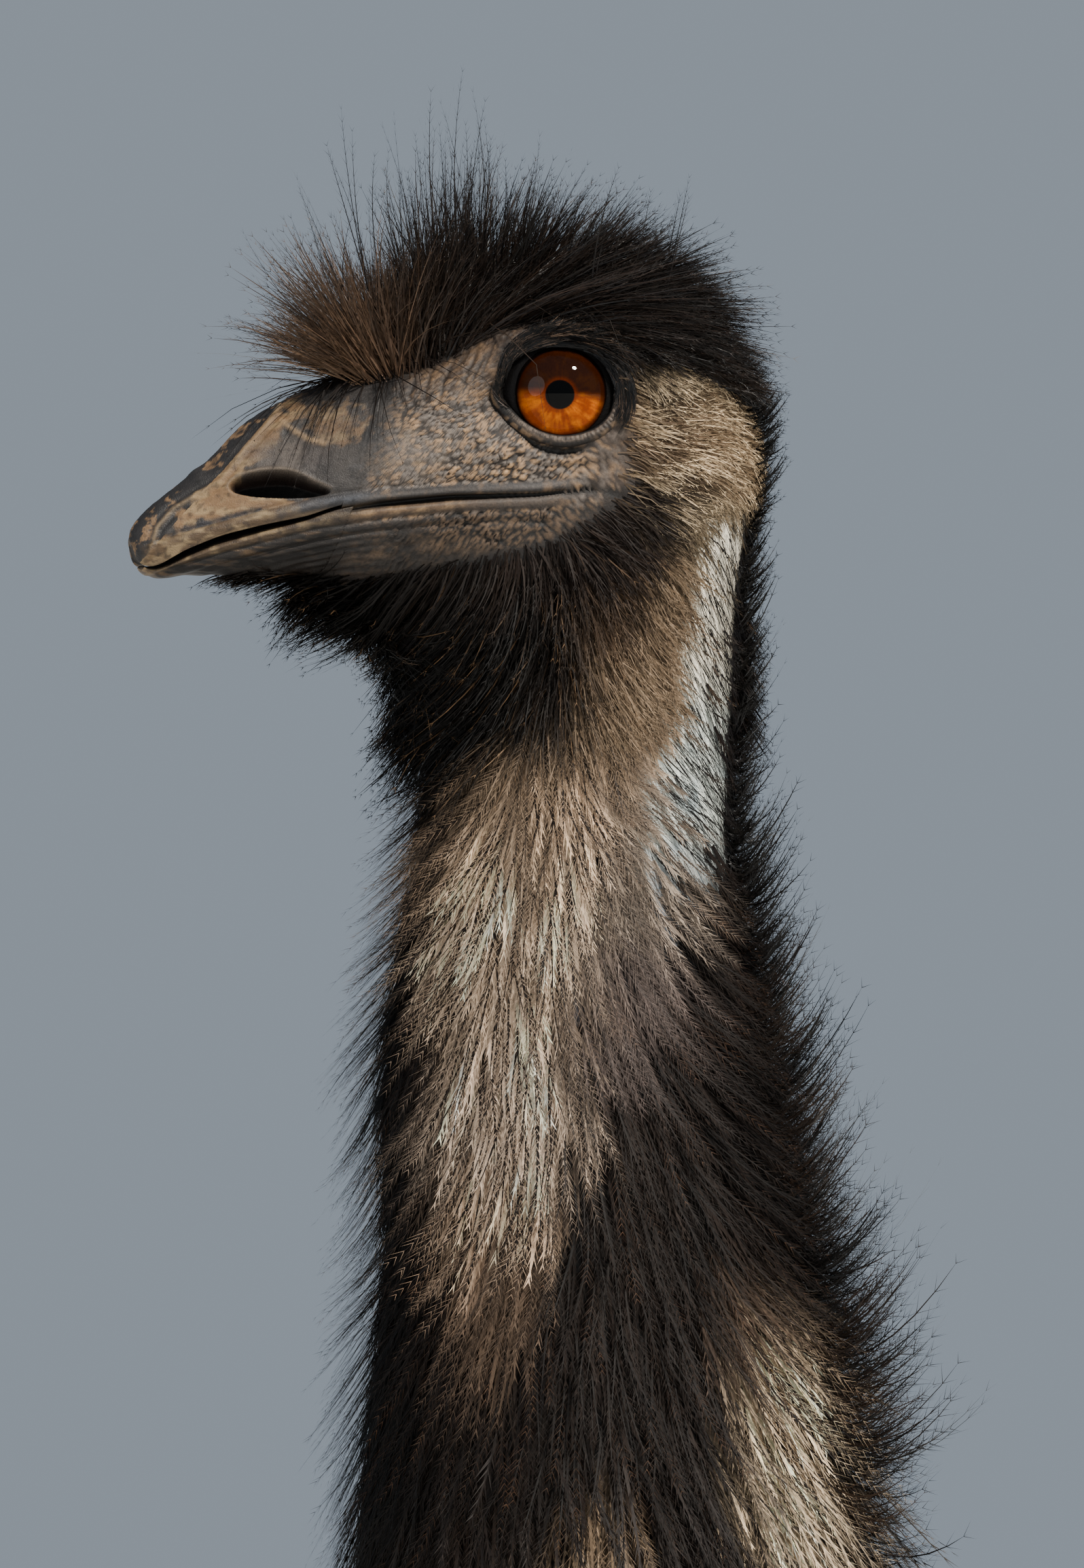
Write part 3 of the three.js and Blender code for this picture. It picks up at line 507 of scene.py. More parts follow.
def face_relief(P, px, py):
    u, v, _ = eye_plane(P)
    e, _ = above_mouth(px, py)
    d, along = to_line(px, py, MOUTH)
    here = bare(px, py)
    # the mouth runs on as a groove between two lips
    depth = 2.6 - 1.5 * step(640, 868, px)
    slot = 0.98 - 0.42 * step(540, 820, px)
    out = -depth * np.exp(-((np.abs(e) / slot) ** 3)) * step(470, 490, px)
    fold, _ = to_line(px, py, GAPE_FOLD)
    out = out - 0.8 * np.exp(-((fold / PX / 0.6) ** 2))
    out = out + lips(px, py, True, e) * (e > 0) + lips(px, py, False, e) * (e <= 0)
    # warts
    Pw = P + 0.9 * (np.stack([noise(P, 2.2, 61 + k) for k in range(3)], -1) - 0.5)
    f1, f2, tag = cells(Pw * np.array([1.0, 0.78, 1.2]), 1.45, 71)
    wart = np.clip(1.0 - f1 / 0.8, 0, 1) ** 0.7 * step(0.02, 0.2, f2 - f1)
    lid = to_loop(u, v, LID_LIST)
    rim = step(2.9, 4.6, np.abs(e))
    lump = 0.25 + 1.3 * step(0.38, 0.66, fbm(P, 6.5, 77, 3))
    muddy = np.exp(-(((px - 745) / 60) ** 2 + ((py - 668) / 30) ** 2))
    amp = 0.6 * here * rim * step(2.2, 4.2, lid) * (0.55 + 0.45 * step(540, 640, px))
    out = out + amp * (wart - 0.35) * lump * (1 + 0.9 * muddy)
    out = out + 0.16 * (fbm(P, 0.9, 81, 2) - 0.5) * np.maximum(here, 0.2)
    # folds: under the eye, before it, and fanning from the corner of the mouth
    ring = np.hypot(u + 1.0, (v + 0.5) * 1.12)
    below = step(0.2, -0.75, np.sin(np.arctan2(v, u) + 0.5)) * here
    fold_at = 4.4 - 1.2 * step(-4, -11, u)
    out = out - 2.3 * np.exp(-(((lid - fold_at) / (1.15 - 0.4 * step(-4, -11, u))) ** 2)) * step(1, -4, v) * step(10, 3, u) * (1 - 0.5 * step(-5, -12, u))
    out = out + 0.5 * np.exp(-(((lid - 6.6) / 0.9) ** 2)) * step(4, -3, v)
    out = out - 0.4 * np.exp(-(((lid - 8.4) / 0.6) ** 2)) * step(2, -5, v) * step(14, 4, u)
    for line, deep in (([(560, 690), (640, 682), (720, 690), (800, 700), (860, 694)], 0.28), ([(575, 640), (640, 640), (700, 662), (742, 690)], 0.22),
                       ([(720, 604), (690, 596), (650, 590), (600, 596)], 0.26), ([(730, 560), (690, 548), (640, 560)], 0.22), ([(905, 560), (925, 600), (922, 640), (900, 668)], 0.3),
                       ([(930, 560), (948, 610), (940, 655)], 0.2), ([(580, 780), (660, 770), (760, 764), (850, 748)], 0.3), ([(560, 806), (650, 800), (740, 790)], 0.26)):
        dl, ul = to_line(px + 5 * (noise(P, 5.0, 91) - 0.5), py + 5 * (noise(P, 5.0, 92) - 0.5), line)
        out = out - deep * np.exp(-((dl / PX / 0.55) ** 2)) * np.sin(np.pi * np.clip(ul, 0.02, 0.98)) ** 0.5
    for line in BROW_FOLDS:
        dl, ul = to_line(px + 7 * (noise(P, 4.0, 91) - 0.5), py + 7 * (noise(P, 4.0, 92) - 0.5), line)
        out = out - 0.42 * np.exp(-((dl / PX / 0.55) ** 2)) * np.sin(np.pi * np.clip(ul, 0.02, 0.98)) ** 0.5
    # small warts and folds under the corner of the mouth
    sag = step(600, 660, px) * step(900, 850, px) * step(-3.4, -4.6, e) * step(-15, -11, e)
    out = out + 0.5 * sag * (wart - 0.3) * lump
    hr = np.where(e > 0, horn_relief(P, px, py, True), horn_relief(P, px, py, False))
    w = step(600, 530, px)
    out = out * (1 - w) + w * (hr - 1.4 * np.exp(-((np.abs(e) / 0.7) ** 2.6)))
    # broad shape: the cheek swells a little, the lore sinks before the eye
    out = out - 0.9 * np.exp(-(((px - 700) / 42) ** 2 + ((py - 585) / 34) ** 2))
    out = out + 0.8 * np.exp(-(((px - 650) / 70) ** 2 + ((py - 680) / 34) ** 2))
    out = out + 1.2 * np.exp(-(((px - 760) / 100) ** 2 + ((py - 500) / 18) ** 2))
    return out, wart


def face_colour(P, px, py, wart):
    e, _ = above_mouth(px, py)
    u, v, _ = eye_plane(P)
    here = bare(px, py)
    n1, n2, n3 = fbm(P, 8.0, 101, 3), fbm(P, 2.6, 111, 3), fbm(P, 1.0, 121, 2)
    Pw = P + 0.9 * (np.stack([noise(P, 2.2, 61 + k) for k in range(3)], -1) - 0.5)
    f1, f2, tag = cells(Pw * np.array([1.0, 0.78, 1.2]), 1.45, 71)
    muddy = np.exp(-(((px - 745) / 66) ** 2 + ((py - 668) / 32) ** 2)) + 0.8 * np.exp(-(((px - 640) / 60) ** 2 + ((py - 600) / 36) ** 2))
    tan = step(0.42, 0.62, n1 * 0.42 + tag * 0.36 + n3 * 0.22 + 0.12 * muddy)
    top = mix(WART_GREY, WART, tan)
    # between the warts the skin is painted near black as shade in the crevices
    skin = mix(WART_GAP_SHADE * 0.3, top * 0.84, step(0.1, 0.54, wart + 0.6 * (n3 - 0.42)))
    skin = mix(skin, srgb(176, 142, 104), step(0.66, 0.8, tag) * step(0.4, 0.7, wart) * (0.25 + 0.6 * np.clip(muddy, 0, 1)))
    grey = np.exp(-(((px - 590) / 62) ** 2 + ((py - 668) / 36) ** 2))
    skin = mix(skin, mix(srgb(98, 90, 84), srgb(124, 108, 90), step(0.45, 0.7, n2)), grey * 0.55)
    # browner and darker towards the brow, round the eye and behind it
    skin = skin * (1 - 0.42 * step(640, 560, py))[..., None]
    skin = mix(skin, mix(srgb(72, 56, 43), srgb(112, 88, 66), step(0.42, 0.66, n2)), step(606, 530, py) * 0.5)
    # painted shade: dark lines along the folds before the brow, where the skin creases
    for line in BROW_FOLDS:
        dl, ul = to_line(px + 7 * (noise(P, 4.0, 91) - 0.5), py + 7 * (noise(P, 4.0, 92) - 0.5), line)
        skin = mix(skin, srgb(24, 18, 14), np.exp(-((dl / PX / 0.5) ** 2)) * np.sin(np.pi * np.clip(ul, 0.02, 0.98)) ** 0.5 * 0.8)
    skin = mix(skin, srgb(62, 50, 41), step(850, 905, px) * 0.55)
    lid = to_loop(u, v, LID_LIST)
    skin = mix(skin, srgb(52, 42, 35), np.exp(-((np.maximum(lid, 0) / 3.6) ** 2)) * 0.6)
    # painted shade: a near-black crescent in the deep fold under the lower lid
    skin = mix(skin, srgb(9, 7, 6), np.exp(-(((lid - 4.3 + 1.4 * step(-4, -11, u)) / (1.2 - 0.5 * step(-4, -11, u))) ** 4)) * step(1, -4, v) * step(11, 4, u) * 0.95)
    skin = mix(skin, srgb(22, 18, 17), step(0, 6, v + 0.5 * np.minimum(u + 6, 0)) * np.exp(-((lid / 6.0) ** 2)) * 0.92)
    skin = mix(skin, srgb(24, 19, 17), step(-9, -13, u) * step(8, 0, v) * step(-9, -3, v) * np.exp(-((lid / 2.6) ** 2)) * 0.8)
    # under the mouth the skin is dark, with long streaks
    below = step(-3.0, -5.0, e) * (e < 0)
    long = fbm(P * np.array([1.0, 0.25, 1.4]), 2.0, 161, 3)
    dark = mix(srgb(36, 28, 23), srgb(98, 78, 58), step(0.48, 0.70, long * 0.6 + n2 * 0.4))
    dark = mix(dark, srgb(128, 100, 72), step(0.5, 0.7, n1) * np.exp(-(((px - 700) / 110) ** 2 + ((py - 792) / 26) ** 2)) * 0.55)
    skin = mix(skin, dark * 0.36, below * 0.92)
    sag = step(600, 660, px) * step(900, 850, px) * step(-3.4, -4.6, e) * step(-15, -11, e)
    # painted shade: near black in the gaps between the small warts under the corner of the mouth
    skin = mix(skin, mix(srgb(14, 11, 9), srgb(90, 71, 53), step(0.2, 0.66, wart + 0.5 * (n3 - 0.45))), sag * 0.75)
    base = mix(FACE_DARK, skin, here)
    # lips: the upper one with a painted highlight along its crest and painted shade in the groove above it, the lower
    # one darkening with painted shade as it turns under
    lipw = step(880, 810, px)
    up = step(3.9, 3.2, e) * (e > 0)
    # painted highlight: a lighter band along the crest of the upper lip
    lip_slate_and_painted_light = mix(srgb(30, 27, 27), srgb(84, 79, 76), np.exp(-(((e - 2.2) / 0.6) ** 2)) * 0.85)
    lip_slate_and_painted_light = mix(lip_slate_and_painted_light, WART, step(0.58, 0.75, n2) * 0.3)
    lip_slate_and_painted_light = mix(lip_slate_and_painted_light, srgb(100, 80, 56), step(1.3, 0.5, e) * 0.5)
    # painted shade in the groove along the top of the upper lip
    lip_slate_and_painted_light = mix(lip_slate_and_painted_light, srgb(26, 22, 21), np.exp(-(((e - 3.7) / 0.45) ** 2)) * 0.6)
    base = mix(base, lip_slate_and_painted_light, up * lipw * 0.95)
    dn = step(4.0, 3.2, -e) * (e <= 0)
    low = mix(srgb(84, 65, 47), srgb(126, 100, 71), step(0.4, 0.65, n2))
    low = mix(low, srgb(60, 53, 48), step(600, 740, px) * 0.85)
    # painted shade as the lower lip turns under
    low = mix(low, srgb(42, 35, 31), step(-1.9, -3.2, e) * 0.75)
    base = mix(base, low, dn * lipw * 0.95)
    # painted shade: the mouth's groove and the fold at its corner are painted near black
    base = mix(base, srgb(4, 3, 3), np.exp(-((np.abs(e) / (1.02 - 0.36 * step(540, 820, px))) ** 5)) * step(900, 860, px))
    fold, _ = to_line(px, py, GAPE_FOLD)
    base = mix(base, srgb(12, 10, 9), np.exp(-((fold / PX / 0.9) ** 2)) * 0.9)
    # in front the horn's own colours carry on over the join
    horn = mix(horn_colour(P, px, py, False), horn_colour(P, px, py, True), (e > 0).astype(float))
    w = step(610, 530, px + 0.35 * (py - 660) + 50 * (n1 - 0.5))
    base = mix(base, horn, w)
    return base


# ------------------------------------------------------------------ markings of the coat
# where the crest begins and where the throat begins, in the picture
CREST_EDGE = np.array([(380, 612), (440, 588), (500, 572), (560, 560), (620, 546), (670, 522), (710, 500), (745, 484), (775, 478), (805, 488), (860, 504), (930, 526), (1000, 545), (1060, 572), (1120, 590)], float)
THROAT_EDGE = np.array([(300, 838), (420, 846), (560, 844), (700, 826), (800, 804), (870, 782), (960, 796), (1060, 860), (1120, 900)], float)


def crest_edge(px):
    return np.interp(px, CREST_EDGE[:, 0], CREST_EDGE[:, 1])


def throat_edge(px):
    return np.interp(px, THROAT_EDGE[:, 0], THROAT_EDGE[:, 1])


def crest_share(px, py):
    return step(8, -8, py - crest_edge(px))


SPINE_T = np.linspace(14.0, 31.0, 90)
SPINE_SIDE = surface(SPINE_T, math.pi / 2)
SPINE_BACK = surface(SPINE_T, math.pi)
SPINE_Z = SPINE_SIDE[::-1, 2]


def spine(P):
    """How near a place is to the middle line of the nape: 1 on it."""
    z = P[..., 2]
    wide = np.interp(z, SPINE_Z, SPINE_SIDE[::-1, 0])
    y0 = np.interp(z, SPINE_Z, SPINE_SIDE[::-1, 1])
    deep = np.interp(SPINE_BACK[::-1, 2], SPINE_Z, SPINE_SIDE[::-1, 1])
    deep = np.interp(z, SPINE_BACK[::-1, 2], SPINE_BACK[::-1, 1] - deep)
    near = np.interp(z, [1300, 1500, 1560, 1620, 1640, 1665], [0.72, 0.6, 0.36, 0.3, 0.36, 0.4])
    return step(near + 0.16, near - 0.1, np.abs(P[..., 0]) / wide) * step(0.05, 0.4, (P[..., 1] - y0) / np.maximum(deep, 5)) * step(1250, 1330, z) * step(1700, 1672, z)


def bare_neck(P):
    """Where the sides of the neck are naked: 1 in the middle of the patch."""
    px, py = picture(P)
    n = fbm(P, 5.0, 141, 3)
    edge = np.interp(py, [740, 800, 1018, 1120, 1263, 1400, 1600], [1040, 1016, 975, 940, 920, 950, 990])
    return step(-14, 34, px - edge + 40 * (n - 0.5)) * step(735, 790, py) * step(1480, 1160, py + 90 * (n - 0.5)) * (1 - spine(P))


def coat_colour(P):
    """The markings of the coat, shared by the feathers and by the skin under them, with painted shade along the neck's
    front and back edges.
    """
    px, py = picture(P)
    n1, n2 = fbm(P, 16.0, 201, 3), fbm(P, 6.0, 211, 3)
    black, dark = srgb(8, 7, 6), srgb(31, 24, 20)
    c = np.broadcast_to(dark, P.shape).copy()
    w = 60 * (n1 - 0.5)

    def patch(x0, y0, rx, ry, colour, strength, wob=0.5):
        nonlocal c
        d = np.sqrt(((px + w - x0) / rx) ** 2 + ((py + w - y0) / ry) ** 2)
        k = step(1.3, 0.5, d + wob * (n2 - 0.5) * 2) * strength
        c = mix(c, colour, k)

    # behind the eye and the cheek
    patch(1040, 620, 120, 110, srgb(124, 100, 76), 0.9, 0.25)
    patch(940, 640, 60, 70, srgb(92, 73, 56), 0.6, 0.25)
    patch(1075, 640, 60, 95, srgb(158, 132, 102), 0.7, 0.25)
    patch(920, 765, 110, 45, srgb(36, 27, 22), 0.85, 0.25)
    patch(1050, 800, 60, 90, srgb(158, 138, 110), 0.6, 0.25)
    # throat and the dark collar under it
    patch(600, 900, 280, 80, black, 0.9, 0.2)
    patch(905, 900, 80, 80, srgb(84, 67, 52), 0.6, 0.3)
    patch(640, 1030, 190, 80, black, 0.97, 0.2)
    patch(925, 1010, 95, 120, srgb(146, 124, 100), 0.85, 0.3)
    patch(985, 900, 60, 100, srgb(140, 118, 94), 0.7, 0.3)
    # pale patches of the neck
    patch(840, 1120, 120, 80, srgb(172, 146, 120), 0.85)
    patch(780, 1230, 120, 100, srgb(200, 172, 144), 0.86)
    patch(760, 1385, 110, 120, srgb(228, 200, 172), 0.97)
    patch(750, 1575, 100, 110, srgb(240, 212, 186), 0.97)
    patch(738, 1730, 74, 84, srgb(196, 168, 142), 0.88)
    patch(745, 1880, 50, 100, srgb(126, 104, 86), 0.75)
    patch(930, 1230, 100, 130, srgb(158, 142, 126), 0.8)
    patch(900, 1420, 70, 130, srgb(116, 102, 96), 0.6)
    patch(1165, 2080, 104, 220, srgb(232, 206, 172), 0.97)
    patch(1250, 2230, 120, 150, srgb(234, 208, 174), 0.95)
    patch(1200, 1900, 50, 90, srgb(150, 126, 104), 0.6)
    patch(890, 2250, 62, 90, srgb(150, 126, 100), 0.8)
    patch(1060, 1880, 50, 90, srgb(96, 78, 64), 0.5)
    # dark before and behind: the coat's own dark feathers, with painted shade on the edges of the neck that turn from
    # the light
    front = np.interp(py, [1100, 1300, 1500, 1700, 1900, 2100, 2309], [622, 636, 622, 618, 630, 640, 640])
    c = mix(c, black, step(30, -34, px - front + w) * step(1060, 1160, py) * 0.92)
    back = np.interp(py, [1000, 1200, 1500, 1800, 2000, 2309], [1080, 1050, 1000, 1060, 1230, 1400])
    c = mix(c, srgb(26, 20, 17), step(-30, 50, px - back + w) * step(1180, 1420, py) * 0.75)
    c = mix(c, srgb(16, 13, 12), spine(P) * 0.94)
    # fine mottling
    c = c * (0.66 + 0.68 * n2)[..., None]
    # the body: grey-brown with darker tips, paler towards the belly
    y, z = P[..., 1], P[..., 2]
    low = step(1400, 1270, z)
    body = mix(srgb(92, 76, 61), srgb(128, 106, 85), step(0.35, 0.7, fbm(P, 60.0, 221, 3)))
    body = mix(body, srgb(56, 45, 38), step(0.5, 0.75, fbm(P, 26.0, 231, 2)) * 0.6)
    body = mix(body, srgb(148, 128, 104), step(880, 680, z) * 0.4)
    front_low = step(120, -20, y)
    body = mix(body, srgb(48, 39, 33), front_low * step(1080, 1270, z) * 0.7)
    return mix(c, body, low)


# ------------------------------------------------------------------ materials
def new_material(name, roughness, tint_scale=1.0):
    m = bpy.data.materials.new(name)
    m.use_nodes = True
    nt = m.node_tree
    nt.nodes.clear()
    out = nt.nodes.new("ShaderNodeOutputMaterial")
    p = nt.nodes.new("ShaderNodeBsdfPrincipled")
    nt.links.new(p.outputs[0], out.inputs[0])
    p.inputs["Roughness"].default_value = roughness
    tint = nt.nodes.new("ShaderNodeVertexColor")
    tint.layer_name = "tint"
    return m, nt, p, tint


def node(nt, kind, **inputs):
    n = nt.nodes.new(kind)
    for k, v in inputs.items():
        n.inputs[k].default_value = v
    return n


def noise_node(nt, scale, detail=3.0, rough=0.55, stretch=None):
    co = nt.nodes.new("ShaderNodeTexCoord")
    n = node(nt, "ShaderNodeTexNoise", Scale=scale, Detail=detail, Roughness=rough)
    if stretch:
        m = nt.nodes.new("ShaderNodeMapping")
        m.inputs["Scale"].default_value = stretch
        nt.links.new(co.outputs["Object"], m.inputs["Vector"])
        nt.links.new(m.outputs[0], n.inputs["Vector"])
    else:
        nt.links.new(co.outputs["Object"], n.inputs["Vector"])
    return n


def shade(nt, a, b, factor, mode="MULTIPLY"):
    m = nt.nodes.new("ShaderNodeMix")
    m.data_type = "RGBA"
    m.blend_type = mode
    m.clamp_factor = True
    for slot, v in ((6, a), (7, b), (0, factor)):
        if isinstance(v, (float, int)):
            m.inputs[slot].default_value = v
        elif isinstance(v, tuple):
            m.inputs[slot].default_value = v
        else:
            nt.links.new(v, m.inputs[slot])
    return m.outputs[2]


def ranged(nt, value, lo, hi, to_lo, to_hi):
    m = nt.nodes.new("ShaderNodeMapRange")
    m.inputs["From Min"].default_value = lo
    m.inputs["From Max"].default_value = hi
    m.inputs["To Min"].default_value = to_lo
    m.inputs["To Max"].default_value = to_hi
    nt.links.new(value, m.inputs["Value"])
    return m.outputs[0]


def bump_from(nt, p, height, distance, strength=0.6):
    b = node(nt, "ShaderNodeBump", Strength=strength, Distance=distance)
    nt.links.new(height, b.inputs["Height"])
    nt.links.new(b.outputs[0], p.inputs["Normal"])


def horn_material(name):
    m, nt, p, tint = new_material(name, 0.42)
    fine = noise_node(nt, 900.0, 4.0, 0.6, (1.0, 0.3, 1.3))
    dots = noise_node(nt, 2600.0, 2.0, 0.5)
    grain = ranged(nt, fine.outputs[0], 0.3, 0.7, 0.78, 1.16)
    colour = shade(nt, tint.outputs[0], grain, 1.0)
    nt.links.new(colour, p.inputs["Base Color"])
    # mud is dull, bare horn has a low polish
    lum = nt.nodes.new("ShaderNodeRGBToBW")
    nt.links.new(tint.outputs[0], lum.inputs[0])
    rough = ranged(nt, lum.outputs[0], 0.04, 0.28, 0.56, 0.84)
    # deep hollows are matt
    hollow = ranged(nt, lum.outputs[0], 0.002, 0.012, 1.0, 0.0)
    most = nt.nodes.new("ShaderNodeMath")
    most.operation = "MAXIMUM"
    nt.links.new(rough, most.inputs[0])
    nt.links.new(hollow, most.inputs[1])
    nt.links.new(most.outputs[0], p.inputs["Roughness"])
    add = nt.nodes.new("ShaderNodeMath")
    add.operation = "ADD"
    nt.links.new(fine.outputs[0], add.inputs[0])
    nt.links.new(dots.outputs[0], add.inputs[1])
    bump_from(nt, p, add.outputs[0], 0.00022, 0.55)
    p.inputs["Specular IOR Level"].default_value = 0.36
    return m


def skin_material(name):
    m, nt, p, tint = new_material(name, 0.62)
    fine = noise_node(nt, 1500.0, 4.0, 0.62)
    grain = ranged(nt, fine.outputs[0], 0.3, 0.7, 0.72, 1.22)
    colour = shade(nt, tint.outputs[0], grain, 1.0)
    nt.links.new(colour, p.inputs["Base Color"])
    bump_from(nt, p, fine.outputs[0], 0.0003, 0.6)
    p.inputs["Specular IOR Level"].default_value = 0.4
    return m


def plume_material(name, roughness=0.5, gloss=0.35):
    m, nt, p, tint = new_material(name, roughness)
    fine = noise_node(nt, 700.0, 2.0, 0.5)
    grain = ranged(nt, fine.outputs[0], 0.3, 0.7, 0.82, 1.18)
    colour = shade(nt, tint.outputs[0], grain, 1.0)
    nt.links.new(colour, p.inputs["Base Color"])
    p.inputs["Specular IOR Level"].default_value = gloss
    return m


def eye_material(name):
    m, nt, p, tint = new_material(name, 0.28)
    fine = noise_node(nt, 1900.0, 3.0, 0.6)
    grain = ranged(nt, fine.outputs[0], 0.3, 0.7, 0.85, 1.15)
    colour = shade(nt, tint.outputs[0], grain, 1.0)
    nt.links.new(colour, p.inputs["Base Color"])
    p.inputs["Coat Weight"].default_value = 0.3
    p.inputs["Coat Roughness"].default_value = 0.02
    p.inputs["Coat IOR"].default_value = 1.45
    p.inputs["Specular IOR Level"].default_value = 0.0
    return m


HORN = horn_material("bill_horn")
SKIN = skin_material("bare_skin")
EYE_MAT = eye_material("eye_amber")
EYE_EDGE = skin_material("eye_edge")
EYE_EDGE.node_tree.nodes["Principled BSDF"].inputs["Specular IOR Level"].default_value = 0.12
CLAW = horn_material("claw_horn")


def finish_piece(ob, material, slot, *nodes):
    ob.data.materials.append(material)
    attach(ob, "root")
    if nodes:
        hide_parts(*nodes)
    return ob


# ------------------------------------------------------------------ bill
def mouth_share(t):
    return through(TABLE[:, 8:9], t)[..., 0]


def angle_of(t, share):
    v = through(TABLE, t)
    widest, below, above = v[..., 5], v[..., 6], v[..., 7]
    h = np.where(share < widest, share / widest - 1, (share - widest) / (1 - widest))
    return np.arccos(-power(h, np.where(h < 0, below, above) / 2))


def height_of(t):
    v = through(TABLE, t)
    return np.hypot(v[..., 0] - v[..., 2], v[..., 1] - v[..., 3])


def make_bill(upper, name, cad):
    t0 = 0.0 if upper else 1.35
    rows, cols = (176, 250) if upper else (150, 200)
    t = t0 + (8.12 - t0) * np.linspace(0, 1, rows) ** (1.15 if upper else 1.05)
    share = mouth_share(t)
    tall = height_of(t)
    gape = (0.1 + 0.9 * step(1.0, 3.2, t)) * (1 - 0.5 * step(4.6, 8.1, t))
    opening = (1.3 if upper else -1.25) * gape
    a0 = angle_of(t, np.clip(share + opening / tall, 0.01, 0.95))[:, None]
    u = np.linspace(0, 1, cols)[None, :]
    if upper:
        w = 0.5 + 0.5 * np.sign(u - 0.5) * (np.abs(2 * u - 1) ** 0.92)
        a = a0 + (2 * math.pi - 2 * a0) * w
    else:
        a = -a0 + 2 * a0 * u
    T = np.broadcast_to(t[:, None], a.shape)
    P = surface(T, a, 1.0 - step(6.2, 7.6, T), 1.0 if upper else 0.93 + 0.07 * step(4.5, 7.9, T))
    N = grid_normals(P, False)
    flip = np.sum(N * (P - P.mean(1, keepdims=True)), -1).mean() < 0
    if flip:
        N = -N
    px, py = picture(P)
    away = horn_relief(P, px, py, upper)
    # the two edges stay where they are and turn in sharply
    edge = np.minimum(np.arange(cols), np.arange(cols)[::-1])[None, :] / 5.0
    away = away * np.clip(step(0, 1, edge) + 0.25, 0, 1)
    fade_tip = step(0, 0.35, T - t0)
    away = away * (0.25 + 0.75 * fade_tip)
    Q = P + N * away[..., None]
    C = horn_colour(P, px, py, upper)
    # the inside of the mouth: a palate joined to both edges
    inner = 12
    left, right = Q[:, :1], Q[:, -1:]
    s = np.linspace(0, 1, inner + 2)[None, 1:-1, None]
    roof = right + (left - right) * s
    lift = (2.6 if upper else -2.4) * np.sin(np.pi * s[..., 0]) ** 0.35 * np.clip(T[:, :1] / 3.0, 0.1, 1)
    lift = np.minimum(np.abs(lift), 0.35 * tall[:, None] * 0.6) * np.sign(lift)
    if not upper:
        # the tongue fills the gap
        lift = (2.7 * gape[:, None] + 0.15) * np.sin(np.pi * s[..., 0]) ** 0.6
    up = unit(np.stack([np.zeros(rows), (TABLE[8, 0] - TABLE[8, 2]) * np.ones(rows), 40 * np.ones(rows)], -1))[:, None, :]
    roof = roof + up * lift[..., None]
    ring = np.concatenate([Q, roof], 1)
    # painted shade: the palate and tongue, seen only through the narrow gap, are painted near black
    tint = np.concatenate([C, np.broadcast_to(srgb(20, 14, 12), roof.shape)], 1)
    n = cols + inner
    pts = ring.reshape(-1, 3)
    quads = grid(rows, n, closed=True)
    tips = np.stack([ring[0].mean(0), ring[-1].mean(0)])
    pts = np.concatenate([pts, tips])
    tint = np.concatenate([tint.reshape(-1, 3), tint[0, :cols].mean(0)[None], srgb(10, 8, 7)[None]])
    j = np.arange(n)
    k = (j + 1) % n
    first, last = rows * n, rows * n + 1
    ob = mixed_object(name, pts, quads, np.concatenate([np.stack([np.full(n, first), k, j], -1), np.stack([np.full(n, last), (rows - 1) * n + j, (rows - 1) * n + k], -1)]), tint)
    outward(ob)
    return finish_piece(ob, HORN, "bill_horn", cad)


def mixed_object(name, points, quads, tris, colours):
    """As new_object, with quads and triangles together."""
    me = bpy.data.meshes.new(name)
    co = np.array(points, float).copy()
    co[:, 1] += FORE_AFT
    co *= 0.001
    me.vertices.add(len(co))
    me.vertices.foreach_set("co", co.astype(np.float32).ravel())
    idx = np.concatenate([quads.ravel(), tris.ravel()]).astype(np.int32)
    me.loops.add(len(idx))
    me.loops.foreach_set("vertex_index", idx)
    starts = np.concatenate([np.arange(len(quads)) * 4, quads.size + np.arange(len(tris)) * 3]).astype(np.int32)
    me.polygons.add(len(starts))
    me.polygons.foreach_set("loop_start", starts)
    me.polygons.foreach_set("use_smooth", np.ones(len(starts), bool))
    layer = me.color_attributes.new("tint", "FLOAT_COLOR", "POINT")
    rgba = np.ones((len(co), 4), np.float32)
    rgba[:, :3] = np.clip(colours, 0, 1)
    layer.data.foreach_set("color", rgba.ravel())
    me.update(calc_edges=True)
    ob = bpy.data.objects.new(name, me)
    bpy.context.scene.collection.objects.link(ob)
    return ob


def outward(ob):
    """Turns a closed mesh's faces outwards."""
    me = ob.data
    me.calc_loop_triangles()
    n = len(me.loop_triangles)
    tri = np.zeros(n * 3, np.int32)
    me.loop_triangles.foreach_get("vertices", tri)
    co = np.zeros(len(me.vertices) * 3, np.float32)
    me.vertices.foreach_get("co", co)
    p = co.reshape(-1, 3)[tri.reshape(-1, 3)].astype(float)
    p = p - p.reshape(-1, 3).mean(0)
    if np.sum(p[:, 0] * np.cross(p[:, 1], p[:, 2])) < 0:
        me.flip_normals()


make_bill(True, "bill_upper_horn", "bill_upper")
make_bill(False, "bill_lower_horn", "bill_lower")


# ------------------------------------------------------------------ skin of head, neck and body, in one mesh
def spread_angles(n):
    """Angles round a ring, closer together over the bare face."""
    knots = np.radians([0, 28, 52, 62, 128, 142, 180])
    share = np.array([0, 0.055, 0.13, 0.20, 0.83, 0.905, 1.0])
    half = np.interp(np.linspace(0, 1, n // 2 + 1), share, knots)
    for _ in range(6):
        half[1:-1] = (half[:-2] + 2 * half[1:-1] + half[2:]) / 4
    return np.concatenate([half, 2 * math.pi - half[-2:0:-1]])


HEAD_COLS = 372
NECK_T = 18.6
angles = spread_angles(HEAD_COLS)
t_head = np.concatenate([
    np.linspace(7.86, 13.2, 140)[:-1],
    np.linspace(13.2, NECK_T, 44),
])


